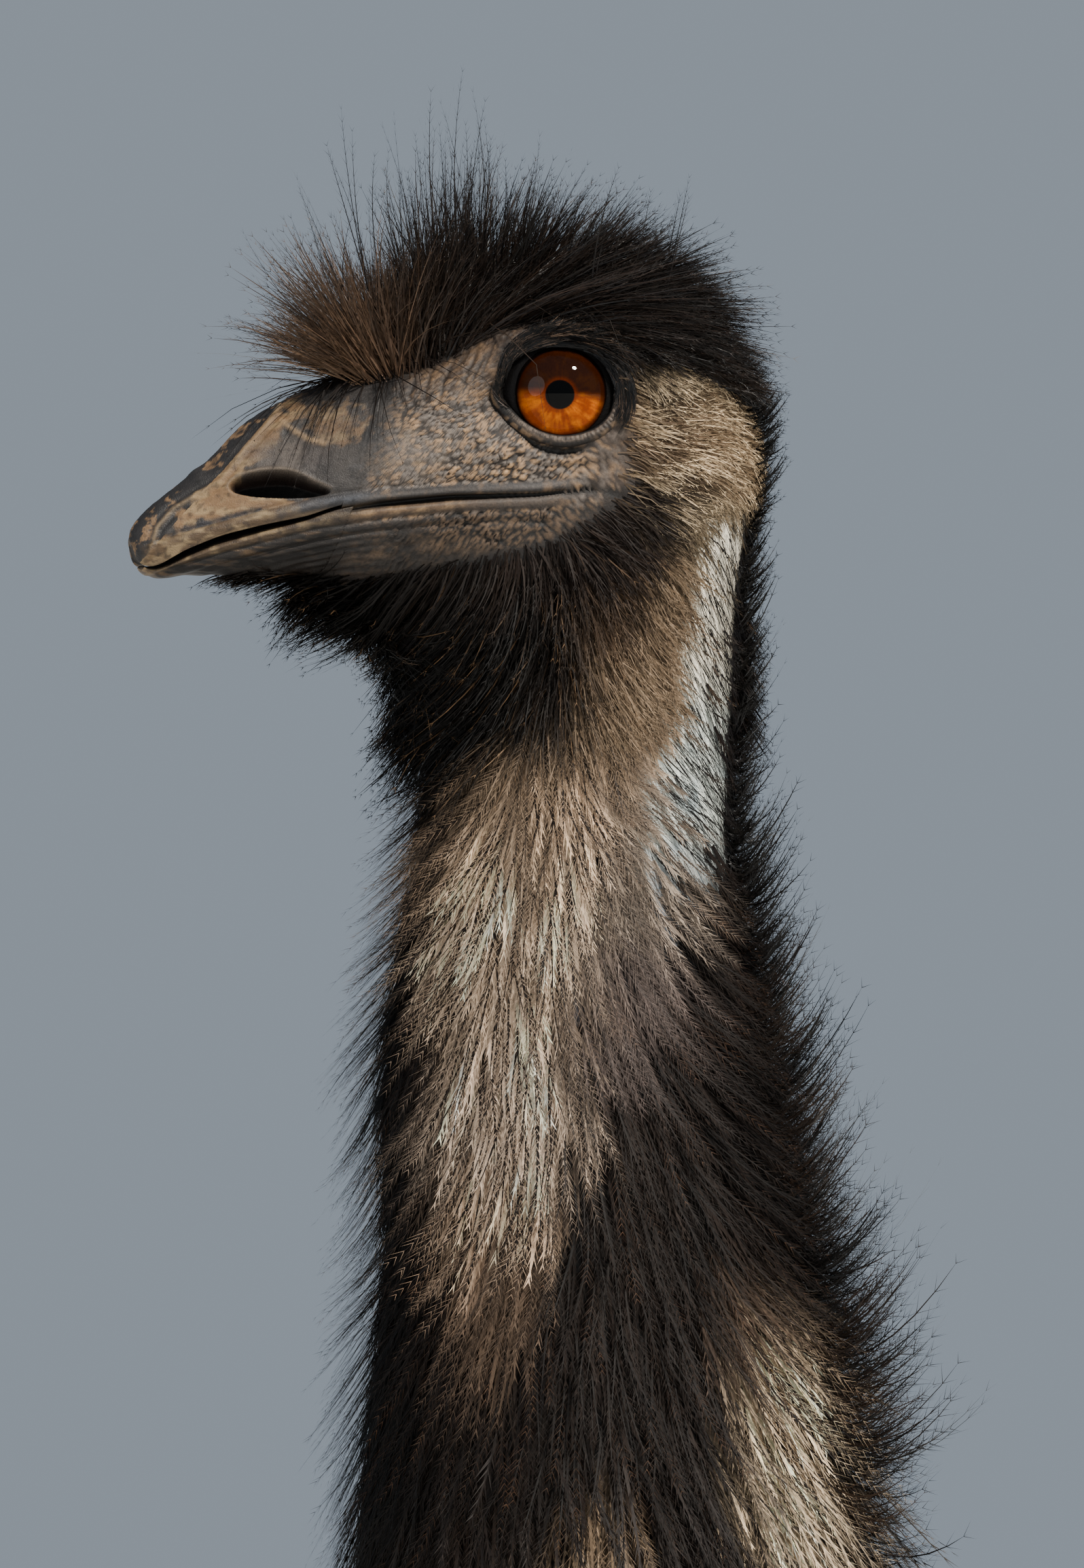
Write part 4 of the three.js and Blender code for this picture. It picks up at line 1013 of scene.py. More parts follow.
def face_mesh():
    T, A = np.meshgrid(t_head, angles, indexing="ij")
    P = surface(T, A, 0.0)
    N = grid_normals(P, True)
    px, py = picture(P)
    # only the side that the picture shows has details near the midline
    out, wart = face_relief(P, px, py)
    # beyond the silhouette of the picture the folded places repeat
    away = out
    Q = P + N * away[..., None]
    C = face_colour(P, px, py, wart)
    # round the eye the skin follows the ball
    side = np.where(P[..., 0] >= 0, 1.0, -1.0)
    u, v, h = eye_plane(Q)
    near = (np.hypot(u, v) < 34) & (h > -6) & (np.abs(P[..., 0]) > 8)
    lid = to_loop(u[near], v[near], LID_LIST)
    uu, vv, hh = u[near], v[near], h[near]
    r = np.hypot(uu, vv)
    th = np.arctan2(vv, uu)
    lth = np.arctan2(LID[:, 1], LID[:, 0])
    order = np.argsort(lth)
    rim = np.interp(th, lth[order], np.hypot(LID[:, 0], LID[:, 1])[order], period=2 * math.pi)
    rim_h = eye_height(rim)
    w = step(1.2, 9.5 + 2.0 * step(0, -8, uu), lid)
    bed = rim_h + 0.85
    target = bed * (1 - w) + hh * w
    # keep the small relief while the broad height changes
    small = away[near] * (1 - w) * 0.8
    target = target + small
    inside = step(1.0, -0.2, lid)
    target = target * (1 - inside) + (eye_height(np.minimum(r, 14.9)) - 2.4) * inside
    shift = (target - hh)[:, None] * LOOK[None, :]
    shift[:, 0] *= side[near]
    Q[near] = Q[near] + shift
    # painted shade: the skin tucked in against the ball inside the lids is painted near black
    C[near] = mix(C[near], srgb(12, 9, 8), inside)
    return T, A, P, Q, C


T_head, A_head, P_head, Q_head, C_head = face_mesh()
OFFSET = Q_head - P_head


def skin_offset(t, a):
    """How far the finished skin of the head stands from its loft."""
    a = np.mod(a, 2 * math.pi)
    n = len(angles)
    x = np.clip(np.interp(t, t_head, np.arange(len(t_head))), 0, len(t_head) - 1.001)
    y = np.interp(a, np.append(angles, 2 * math.pi), np.arange(n + 1))
    i, j = x.astype(int), np.minimum(y.astype(int), n - 1)
    fx, fy = (x - i)[:, None], (y - j)[:, None]
    k = (j + 1) % n
    o = (OFFSET[i, j] * (1 - fy) + OFFSET[i, k] * fy) * (1 - fx) + (OFFSET[i + 1, j] * (1 - fy) + OFFSET[i + 1, k] * fy) * fx
    return o * (t < NECK_T - 0.01)[:, None] * (t > t_head[0])[:, None]


def under_coat(P):
    """The skin's colour under the coat: the coat's own markings, darker where the coat is dark."""
    c = coat_colour(P)
    light = step(0.03, 0.30, c.mean(-1))
    c = c * (0.45 + 0.65 * light)[..., None]
    px, py = picture(P)
    # a blue tinge in the naked skin between sparse feathers
    n = fbm(P, 4.0, 147, 3)
    blue = step(0.5, 0.68, n) * np.exp(-(((px - 930) / 120) ** 2 + ((py - 1330) / 190) ** 2))
    return mix(c, srgb(112, 124, 148), blue * 0.6)


def neck_skin_colour(P, base):
    px, py = picture(P)
    fine = fbm(P, 1.1, 145, 2)
    w = bare_neck(P)
    cream = srgb(252, 242, 220)
    blue = srgb(232, 238, 228)
    c = mix(cream, blue, step(960, 1080, py))
    c = mix(c, srgb(176, 198, 206), step(0.45, 0.7, fbm(P, 5.0, 149, 2)) * step(1060, 1180, py) * 0.6)
    c = mix(c, srgb(104, 122, 146), step(1200, 1380, py) * 0.8)
    c = mix(c, srgb(84, 76, 70), step(0.6, 0.8, fine) * 0.4)
    return mix(base, c, w * 0.97)


feathered = 1 - bare(*picture(P_head))
feathered = feathered * step(520, 600, picture(P_head)[0] + 0.5 * np.abs(picture(P_head)[1] - 700))
C_head = mix(C_head, under_coat(P_head), feathered * step(9.2, 11.5, T_head + 3.0 * step(math.radians(120), math.radians(140), np.minimum(A_head, 2 * math.pi - A_head))) )
C_head = neck_skin_colour(P_head, C_head)

cols2 = HEAD_COLS // 4
ang2 = angles[::4]
t_body = np.concatenate([
    np.linspace(NECK_T, 29.0, 76)[1:],
    np.linspace(29.0, 40.6, 60)[1:],
])
TB, AB = np.meshgrid(t_body, ang2, indexing="ij")
P_body = surface(TB, AB, 0.0)
C_body = neck_skin_colour(P_body, under_coat(P_body))
N_body = grid_normals(P_body, True)
Q_body = P_body + N_body * (0.5 * (fbm(P_body, 2.6, 151, 2) - 0.5) * step(34, 24, TB))[..., None]
print("head grid", Q_head.shape, "body grid", Q_body.shape)


# ------------------------------------------------------------------ eyelids and eyes
def lid_ring(side):
    """A rolled rim round the opening of the eye, from the skin over the edge and in against the ball."""
    n = 360
    loop = round_loop([tuple(p) for p in LID[::2]], n)
    d = np.roll(loop, -1, 0) - np.roll(loop, 1, 0)
    out = unit(np.stack([d[:, 1], -d[:, 0]], -1))
    if np.sum(out * loop) < 0:
        out = -out
    th = np.arctan2(loop[:, 1], loop[:, 0])
    low = step(0.25, -0.45, np.sin(th))
    front = step(-0.8, -0.97, np.cos(th))
    profile = [(3.5, -0.9), (3.1, 0.55), (2.75, 0.98), (2.35, 1.2), (1.95, 1.32), (1.6, 1.37), (1.25, 1.36), (0.95, 1.28), (0.65, 1.12), (0.4, 0.9), (0.2, 0.62), (0.06, 0.3), (0.0, -0.05), (0.05, -1.2)]
    rim_h = eye_height(np.hypot(loop[:, 0], loop[:, 1]))
    rings, tints, where = [], [], []
    s = np.arange(n) / n
    length = np.concatenate([[0], np.cumsum(np.linalg.norm(np.diff(loop, axis=0), axis=1))])
    for e, g in profile:
        p2 = loop + out * e
        bead = 0.2 * np.sin(length * 2 * math.pi / 1.05 + 0.9 * np.sin(length * 0.9)) * np.exp(-(((e - 1.3) / 0.9) ** 2))
        fine = 0.12 * (noise(np.stack([p2[:, 0], p2[:, 1], np.full(n, e)], -1), 0.7, 171) - 0.5)
        heavy = 1 + 0.25 * low
        h = rim_h + g * heavy + (bead * (0.35 + 0.65 * low) + fine) * (e > 0.1)
        q = EYE[None, :] + np.stack([p2[:, 0] * SIN, p2[:, 0] * COS, p2[:, 1]], -1) + h[:, None] * LOOK[None, :]
        q[:, 0] *= side
        rings.append(q)
        rim_tone = mix(srgb(9, 8, 8), srgb(90, 78, 68), low)
        rim_tone = mix(rim_tone, srgb(24, 20, 18), step(0.4, 0.62, noise(np.stack([length, np.full(n, e * 2.0), np.zeros(n)], -1), 0.8, 181)) * 0.6)
        # painted shade: the outer skirt of the rim sinks into the crease round the lid and is painted dark there, near
        # black above and dark brown below, with speckled skin in places
        outer = mix(srgb(8, 7, 7), srgb(26, 21, 18), low)
        speck = noise(np.stack([length * 1.1, np.full(n, e * 1.3), np.full(n, 3.0)], -1), 1.0, 183)
        skin_tone = mix(srgb(26, 20, 17), srgb(120, 97, 74), step(0.34, 0.7, speck))
        about = np.maximum(step(-0.1, -0.5, np.cos(th)) * step(0.75, 0.35, np.sin(th)), step(0.5, 0.85, np.cos(th)) * step(0.6, 0.2, np.sin(th)) * 0.7)
        outer = mix(outer, skin_tone, about * float(step(1.5, 2.3, e)) * 0.9)
        c = mix(rim_tone, outer, float(step(1.35, 2.2, e)))
        c = mix(c, srgb(12, 10, 10), float(step(0.7, 0.25, e)))
        c = mix(c, srgb(9, 8, 8), front * 0.85 * (1 - float(step(1.9, 2.8, e))))
        tints.append(c)
    P = np.array(rings)
    return P, np.array(tints)


def eyeball(side, name, cad):
    rows, cols = 96, 132
    r = np.concatenate([np.linspace(0, 15.6, rows)])
    th = np.linspace(0, 2 * math.pi, cols, endpoint=False)
    R, TH = np.meshgrid(r, th, indexing="ij")
    U, V = R * np.cos(TH), R * np.sin(TH)
    H = eye_height(R)
    back = np.array([15.0, 12.0, 7.0, 2.5])
    hb = np.array([1.0, -5.0, -9.5, -11.5])
    U = np.concatenate([U, back[:, None] * np.cos(th)])
    V = np.concatenate([V, back[:, None] * np.sin(th)])
    H = np.concatenate([H, np.broadcast_to(hb[:, None], (4, cols))])
    q = EYE + np.stack([U * SIN, U * COS, V], -1) + H[..., None] * LOOK
    q[..., 0] *= side
    # colour: pupil, iris with spokes, dark ring, near-black ball
    cu, cv = -0.2, -0.7
    rr = np.hypot(U - cu, V - cv)
    tt = np.arctan2(V - cv, U - cu)
    flat = np.stack([U, V, np.zeros_like(U)], -1)
    spoke = noise(np.stack([tt * 9.0, rr * 0.35, np.zeros_like(rr)], -1), 1.0, 191) * 0.6 + noise(np.stack([tt * 24.0, rr * 0.7, np.ones_like(rr)], -1), 1.0, 192) * 0.4
    cloud = fbm(flat, 3.2, 193, 3)
    iris = mix(srgb(146, 62, 0), srgb(190, 98, 0), step(0.42, 0.72, spoke * 0.55 + cloud * 0.45))
    iris = mix(iris, srgb(104, 34, 0), step(0.56, 0.36, cloud) * 0.5)
    # painted shade: the upper part of the iris is darkened to near black-brown, as under the shadow of the brow and lid
    iris = iris * (1 - 0.5 * step(-4.0, 1.2, V))[..., None]
    iris = mix(iris, srgb(20, 9, 5), step(-1.9, 1.2, V + 1.8 * (cloud - 0.5) + 0.1 * U) * 0.95)
    iris = mix(iris, srgb(84, 28, 0), step(5.2, 3.6, rr) * 0.55)
    iris = mix(iris, srgb(40, 14, 3), step(9.4, 11.2, rr) * 0.8)
    c = mix(iris, srgb(6, 4, 4), step(10.9, 11.5, np.hypot(U - 0.1, V + 0.3)))
    c = mix(c, srgb(2, 2, 2), step(3.95, 3.6, rr))
    n = cols
    rows_all = q.shape[0]
    pts = q.reshape(-1, 3)
    end = q[-1].mean(0)
    pts = np.concatenate([pts, end[None]])
    tint = np.concatenate([c.reshape(-1, 3), c[-1].mean(0)[None]])
    quads = grid(rows_all, n, closed=True)
    j = np.arange(n)
    tris = np.stack([np.full(n, rows_all * n), (rows_all - 1) * n + j, (rows_all - 1) * n + (j + 1) % n], -1)
    ob = mixed_object(name, pts, quads, tris, tint)
    outward(ob)
    finish_piece(ob, EYE_MAT, "eye", cad)
    ob.data.materials.append(EYE_EDGE)
    ring = np.repeat(np.arange(rows_all - 1), n)
    index = np.concatenate([(ring >= int(11.9 / 15.6 * (rows - 1))).astype(np.int32), np.ones(len(tris), np.int32)])
    ob.data.polygons.foreach_set("material_index", index)
    return ob


eyeball(1.0, "eye_left_ball", "eye_left")
eyeball(-1.0, "eye_right_ball", "eye_right")


# ------------------------------------------------------------------ one skin mesh
def build_skin():
    pts, tint, quads, tris = [], [], [], []
    base = 0
    rh, ch = Q_head.shape[:2]
    pts.append(Q_head.reshape(-1, 3))
    tint.append(C_head.reshape(-1, 3))
    quads.append(grid(rh, ch, closed=True))
    base = rh * ch
    rb, cb = Q_body.shape[:2]
    pts.append(Q_body.reshape(-1, 3))
    tint.append(C_body.reshape(-1, 3))
    quads.append(grid(rb, cb, closed=True, start=base))
    # the join from the fine rings of the head to the coarse rings of the neck
    last = (rh - 1) * ch
    for j in range(cb):
        k = (j + 1) % cb
        fine = [last + (4 * j + i) % ch for i in range(5)]
        for i in range(4):
            tri = (fine[i], fine[i + 1], base + (j if i < 2 else k))
            tris.append(tri)
        tris.append((fine[2], base + k, base + j))
    # closed at the tail
    tail = base + rb * cb
    pts.append(Q_body[-1].mean(0)[None])
    tint.append(C_body[-1].mean(0)[None])
    for j in range(cb):
        tris.append((base + (rb - 1) * cb + j, base + (rb - 1) * cb + (j + 1) % cb, tail))
    base = tail + 1
    for side in (1.0, -1.0):
        P, C = lid_ring(side)
        pts.append(P.reshape(-1, 3))
        tint.append(C.reshape(-1, 3))
        quads.append(grid(P.shape[0], P.shape[1], closed=True, start=base, flip=side > 0))
        base += P.shape[0] * P.shape[1]
    for P, C, Q4 in LIMB_SKIN:
        pts.append(P)
        tint.append(C)
        quads.append(Q4 + base)
        base += len(P)
    tris = np.array(tris)
    ob = mixed_object("skin", np.concatenate(pts), np.concatenate(quads), tris, np.concatenate(tint))
    bm_fix_normals(ob, rh * ch)
    return ob


def bm_fix_normals(ob, probe):
    """Turns the whole grid outwards if its first faces look in."""
    me = ob.data
    f = me.polygons[(probe // 2)]
    c = np.array(f.center) * 1000
    c[1] -= FORE_AFT
    mid = Q_head[Q_head.shape[0] // 2].mean(0)
    if np.dot(np.array(f.normal), c - mid) < 0:
        me.flip_normals()


LIMB_SKIN = []


# ------------------------------------------------------------------ coat: joined ribbons and barbs over the skin
def centres(P, size, seed=0):
    """The nearest of scattered points and a number for it, to gather strands in tufts."""
    q = P / size
    i = np.floor(q).astype(np.int64)
    best = np.full(q.shape[:-1], 9.0)
    mid = np.zeros(q.shape)
    tag = np.zeros(q.shape[:-1])
    for dx in (-1, 0, 1):
        for dy in (-1, 0, 1):
            for dz in (-1, 0, 1):
                cx, cy, cz = i[..., 0] + dx, i[..., 1] + dy, i[..., 2] + dz
                j = np.stack([hash3(cx, cy, cz, seed + s) for s in (1, 2, 3)], -1)
                c = j + np.stack([cx, cy, cz], -1)
                d = np.linalg.norm(c - q, axis=-1)
                nearer = d < best
                best = np.where(nearer, d, best)
                mid = np.where(nearer[..., None], c * size, mid)
                tag = np.where(nearer, j[..., 0], tag)
    return mid, tag


def coat_depth(t, a):
    """The coat's depth in the solids at a place."""
    v = through(TABLE, np.clip(t, 0, LAST))
    c = -np.cos(a)
    top, low = np.maximum(c, 0) ** 2, np.maximum(-c, 0) ** 2
    return top * v[..., 9] + low * v[..., 10] + (1 - top - low) * v[..., 11]


RUN = np.concatenate([[0], np.cumsum(np.linalg.norm(np.diff(surface(np.arange(0, LAST + 0.01, 0.1), math.pi / 2, 0.0), axis=0), axis=1))])


def unwrap(t, a):
    """A place on the skin's unwrap: length along the body and the angle round it."""
    return np.stack([a / (2 * math.pi), np.interp(t, np.linspace(0, LAST, len(RUN)), RUN / RUN[-1])], -1)


def scatter(n, t0, t1, a0, a1, weight, rows=220, cols=260):
    """Roots spread evenly over a stretch of skin, by area times a weight."""
    t = np.linspace(t0, t1, rows + 1)
    a = np.linspace(a0, a1, cols + 1)
    tm, am = np.meshgrid((t[1:] + t[:-1]) / 2, (a[1:] + a[:-1]) / 2, indexing="ij")
    p, pt, pa, nn = frame_at(tm, am)
    area = np.linalg.norm(np.cross(pt, pa), axis=-1)
    w = area * np.clip(weight(p, tm, am), 0, None)
    # cells in an order that keeps neighbours together, so that even steps along it fall evenly over the skin
    i, j = np.meshgrid(np.arange(rows), np.arange(cols), indexing="ij")
    key = np.zeros(i.shape, np.int64)
    for b in range(9):
        key |= ((i >> b) & 1) << (2 * b + 1) | ((j >> b) & 1) << (2 * b)
    order = np.argsort(key.ravel())
    total = np.cumsum(w.ravel()[order])
    if total[-1] <= 0:
        return np.zeros(0), np.zeros(0)
    place = (np.arange(n) + rng.random(n)) / n * total[-1]
    cell = order[np.minimum(np.searchsorted(total, place), len(order) - 1)]
    ti, ai = np.divmod(cell, cols)
    return t[ti] + rng.random(n) * (t[1] - t[0]), a[ai] + rng.random(n) * (a[1] - a[0])


# The lie of the coat: place in the picture, direction there (0 is to the right, 90 up), length in mm
LIE = np.array([
    (405, 590, 212, 54), (430, 560, 190, 55), (450, 500, 164, 53), (470, 450, 146, 54), (520, 420, 130, 55), (600, 400, 112, 54), (700, 400, 96, 48),
    (762, 400, 82, 41), (831, 400, 62, 36), (900, 405, 46, 29), (970, 425, 24, 22), (1016, 450, 5, 15), (1045, 480, -22, 12), (1066, 530, -40, 10),
    (480, 566, 180, 44), (530, 552, 142, 38), (600, 535, 102, 31), (640, 520, 88, 29), (690, 500, 60, 28), (758, 470, 32, 27), (820, 470, 14, 25), (876, 475, -6, 22), (940, 485, -12, 19), (995, 500, -18, 15), (1054, 548, -38, 10),
    (720, 515, 40, 14), (760, 502, 22, 15), (810, 498, 4, 15), (860, 506, -14, 14), (900, 530, -28, 12), (925, 570, -20, 10),
    (935, 617, -4, 10), (1000, 570, 8, 11), (1060, 570, 16, 11), (1000, 630, 0, 12), (1070, 625, 2, 13), (1060, 680, -12, 11), (960, 670, -14, 11), (1034, 716, -26, 12), (930, 710, -18, 12), (1070, 760, -50, 12), (1080, 830, -70, 12),
    (560, 835, 235, 15), (700, 830, 250, 13), (800, 800, 290, 12), (860, 770, -32, 13), (915, 795, -38, 14), (980, 780, -38, 13), (1000, 850, -60, 13), (900, 860, -55, 15), (820, 860, -75, 17), (740, 870, -105, 18), (650, 870, 238, 19), (560, 870, 232, 19), (450, 860, 245, 15), (360, 850, 255, 11),
    (500, 920, 232, 21), (560, 960, 222, 22), (620, 950, 226, 22), (700, 960, 238, 22), (780, 960, 262, 22), (860, 960, -68, 19), (930, 940, -60, 15), (1000, 960, -62, 12),
    (590, 1040, 200, 22), (660, 1040, 208, 22), (740, 1040, 232, 22), (829, 1050, -90, 19), (900, 1060, -58, 18), (980, 1080, -48, 14),
    (590, 1140, 192, 22), (650, 1140, 208, 22), (720, 1150, 236, 22), (790, 1170, -92, 20), (860, 1150, -64, 20), (940, 1160, -48, 18), (1010, 1180, -38, 15),
    (580, 1270, 208, 24), (650, 1290, 232, 23), (780, 1290, -92, 22), (900, 1290, -74, 21), (1000, 1300, -48, 20), (1050, 1350, -34, 22),
    (545, 1430, 222, 26), (640, 1450, 246, 24), (780, 1450, -90, 23), (900, 1450, -78, 23), (1020, 1450, -44, 25),
    (530, 1620, 232, 27), (640, 1620, 252, 25), (780, 1620, -91, 25), (920, 1620, -80, 25), (1060, 1620, -42, 29), (1110, 1680, -24, 34),
    (540, 1820, 238, 29), (650, 1820, 254, 27), (800, 1820, -92, 27), (950, 1820, -80, 27), (1120, 1820, -40, 33), (1190, 1860, -20, 40),
    (520, 2020, 240, 32), (650, 2020, 256, 29), (800, 2020, -92, 29), (1000, 2020, -80, 29), (1200, 2020, -44, 38), (1290, 2060, -26, 46),
    (490, 2220, 242, 36), (650, 2220, 257, 32), (820, 2220, -92, 32), (1020, 2220, -80, 32), (1260, 2220, -50, 44), (1370, 2240, -36, 52),
], float)


def place_lie():
    t, a = np.meshgrid(np.linspace(4.0, 28.0, 420), np.linspace(0.02, math.pi - 0.02, 150), indexing="ij")
    p, pt, pa, nn = frame_at(t, a)
    px, py = picture(p)
    seen = (nn @ LOOK) > 0.02
    q = np.stack([px[seen], py[seen]], -1)
    w = p[seen]
    spot = np.array([w[np.argmin(np.sum((q - l[:2]) ** 2, -1))] for l in LIE])
    th = np.radians(LIE[:, 2])
    d = np.stack([np.zeros(len(LIE)), np.cos(th), np.sin(th)], -1)
    return spot, d, LIE[:, 3]


LIE_AT, LIE_DIR, LIE_LENGTH = place_lie()


def lie_at(P):
    """Direction and length of the coat at places on the head and neck."""
    q = P.copy()
    q[:, 0] = np.abs(q[:, 0])
    d = np.zeros((len(P), 3))
    length = np.zeros(len(P))
    for s in range(0, len(P), 20000):
        r2 = np.sum((q[s:s + 20000, None, :] - LIE_AT[None]) ** 2, -1)
        w = 1.0 / (r2 + 6.0) ** 1.7
        w /= w.sum(1, keepdims=True)
        d[s:s + 20000] = w @ LIE_DIR
        length[s:s + 20000] = w @ LIE_LENGTH
    return unit(d), length


def trails(t, a, D, length, segs, rise, turn=0.0, low=0.0):
    """Paths over the skin from roots, in a direction that follows the body; rise gives the height above the skin for each share
    of the length."""
    t, a = t.copy(), a.copy()
    phi = None
    P, N = [], []
    for k in range(segs + 1):
        p, pt, pa, nn = frame_at(t, a)
        et = unit(pt)
        eb = np.cross(nn, et)
        if phi is None:
            phi = np.arctan2(np.sum(D * eb, -1), np.sum(D * et, -1))
        P.append(p + skin_offset(t, a) + nn * (low + rise(k / segs))[:, None])
        N.append(nn)
        if k == segs:
            break
        ang = phi + turn * k / segs
        d = np.cos(ang)[:, None] * et + np.sin(ang)[:, None] * eb
        a11, a12, a22 = np.sum(pt * pt, -1), np.sum(pt * pa, -1), np.sum(pa * pa, -1)
        b1, b2 = np.sum(d * pt, -1), np.sum(d * pa, -1)
        det = np.maximum(a11 * a22 - a12 * a12, 1e-6)
        ds = length / segs
        t = np.clip(t + (a22 * b1 - a12 * b2) / det * ds, 0.5, LAST - 0.6)
        a = a + np.clip((a11 * b2 - a12 * b1) / det * ds, -0.4, 0.4)
    return np.array(P), np.array(N)


def springs(p, D, B, N, length, segs):
    """Paths that stand free of the skin: a start direction and a bend."""
    s = np.linspace(0, 1, segs + 1)[:, None, None]
    P = p[None] + length[None, :, None] * (D[None] * s + 0.5 * B[None] * s * s)
    return P, np.broadcast_to(N[None], P.shape)


class Coat:
    def __init__(self):
        self.parts, self.points, self.tris = [], 0, 0

    def add(self, P, N, width, roll, colours, uv, taper=0.8, barbs=0, barb=4.0, barb_angle=0.5, barb_width=0.3, barb_lift=0.0, barb_from=0.1, barb_to=0.97, barb_colours=None, barb_shape=0.5):
        """Ribbons along paths P, with barbs on both sides. colours are at the root and at the tip."""
        K, n = P.shape[0] - 1, P.shape[1]
        if n == 0:
            return
        T = unit(np.gradient(P, axis=0))
        B = unit(np.cross(N, T))
        U = unit(np.cross(T, B))
        across = np.cos(roll)[None, :, None] * B + np.sin(roll)[None, :, None] * U
        s = np.arange(K) / K
        w = width[None, :] * ((1 - s) ** taper)[:, None] * np.where(s < 0.01, 0.75, 1.0)[:, None] * 0.5
        left = P[:-1] - across[:-1] * w[..., None]
        right = P[:-1] + across[:-1] * w[..., None]
        V = np.concatenate([np.stack([left, right], 1).reshape(2 * K, n, 3), P[-1:]])
        pattern = []
        for k in range(K - 1):
            pattern += [(2 * k, 2 * k + 1, 2 * k + 3), (2 * k, 2 * k + 3, 2 * k + 2)]
        pattern.append((2 * K - 2, 2 * K - 1, 2 * K))
        sv = np.concatenate([np.repeat(s, 2), [1.0]])
        side = np.concatenate([np.tile([-0.5, 0.5], K), [0.0]])
        c0, c1 = colours
        C = c0[None] + (c1 - c0)[None] * (sv[:, None, None] ** 0.9)
        S = np.broadcast_to(sv[:, None], (2 * K + 1, n))
        W = np.broadcast_to(side[:, None] * 0.3, (2 * K + 1, n))
        verts, cols, run, off = [V], [C], [S], [W]
        base = 2 * K + 1
        if barbs:
            b0, b1 = barb_colours if barb_colours is not None else colours
            sj = np.linspace(barb_from, barb_to, barbs)[:, None] + (rng.random((barbs, n)) - 0.5) * (barb_to - barb_from) / barbs * 0.7
            sj = np.clip(sj, 0.01, 0.985)
            for sign in (-1.0, 1.0):
                x = sj * K
                i = np.minimum(x.astype(int), K - 1)
                f = (x - i)[..., None]
                col = np.arange(n)[None, :]
                p = P[i, col] * (1 - f) + P[i + 1, col] * f
                tt = unit(T[i, col] * (1 - f) + T[i + 1, col] * f)
                bb = np.broadcast_to(across[i, col], tt.shape)
                uu = U[i, col]
                ang = barb_angle * (0.8 + 0.4 * rng.random((barbs, n)))[..., None]
                lift = (barb_lift + 0.22 * (rng.random((barbs, n)) - 0.5))[..., None]
                d = unit(tt * np.cos(ang) + sign * bb * np.sin(ang) + uu * lift)
                size = np.asarray(barb) * np.clip(np.sin(np.pi * (0.12 + 0.80 * sj)) ** barb_shape, 0.12, 1) * (0.75 + 0.5 * rng.random((barbs, n)))
                q0 = p
                q1 = p + tt * np.broadcast_to(np.asarray(barb_width, float), (n,))[None, :, None]
                q2 = p + d * size[..., None]
                V3 = np.stack([q0, q1, q2] if sign > 0 else [q1, q0, q2], 1).reshape(barbs * 3, n, 3)
                verts.append(V3)
                cb = b0[None] + (b1 - b0)[None] * sj[..., None]
                tipc = cb * 0.94
                cols.append(np.stack([cb, cb, tipc], 1).reshape(barbs * 3, n, 3))
                run.append(np.repeat(sj, 3, axis=0))
                off.append(np.stack([np.zeros_like(sj), np.zeros_like(sj), np.full_like(sj, sign * 0.5)], 1).reshape(barbs * 3, n))
                for b in range(barbs):
                    pattern.append((base + 3 * b, base + 3 * b + 1, base + 3 * b + 2))
                base += 3 * barbs
        V = np.concatenate(verts).transpose(1, 0, 2)
        C = np.concatenate(cols).transpose(1, 0, 2)
        S = np.concatenate(run).T
        W = np.concatenate(off).T
        place = uv[:, None, :] + np.stack([W * 0.003, (S - 0.5) * 0.003], -1) * 0  # patch offsets are added when the piece is scaled
        offs = np.stack([W, S - 0.5], -1)
        F = (np.array(pattern)[None] + (np.arange(n) * base)[:, None, None] + self.points).reshape(-1, 3)
        self.parts.append((V.reshape(-1, 3).astype(np.float32), F.astype(np.int32), C.reshape(-1, 3).astype(np.float32), place.reshape(-1, 2), offs.reshape(-1, 2)))
        self.points += n * base
        self.tris += len(F)

    def make(self, name, material, slot, *nodes):
        P = np.concatenate([q[0] for q in self.parts])
        F = np.concatenate([q[1] for q in self.parts])
        C = np.concatenate([q[2] for q in self.parts])
        uv = np.concatenate([q[3] for q in self.parts])
        offs = np.concatenate([q[4] for q in self.parts])
        lo, hi = uv.min(0), uv.max(0)
        uv = 0.01 + 0.98 * (uv - lo) / np.maximum(hi - lo, 1e-6) + offs * 0.003
        ob = new_object(name, P, F, smooth=False, colours=C, uv=np.clip(uv, 0, 1))
        print(name, "triangles", len(F))
        assert len(F) < 200000, name
        return finish_piece(ob, material, slot, *nodes)


def vary(c, n, amount, seed_shift=0.0):
    """Feather by feather changes in brightness."""
    k = 1 + amount * (rng.random(n) * 2 - 1)
    return c * k[:, None]


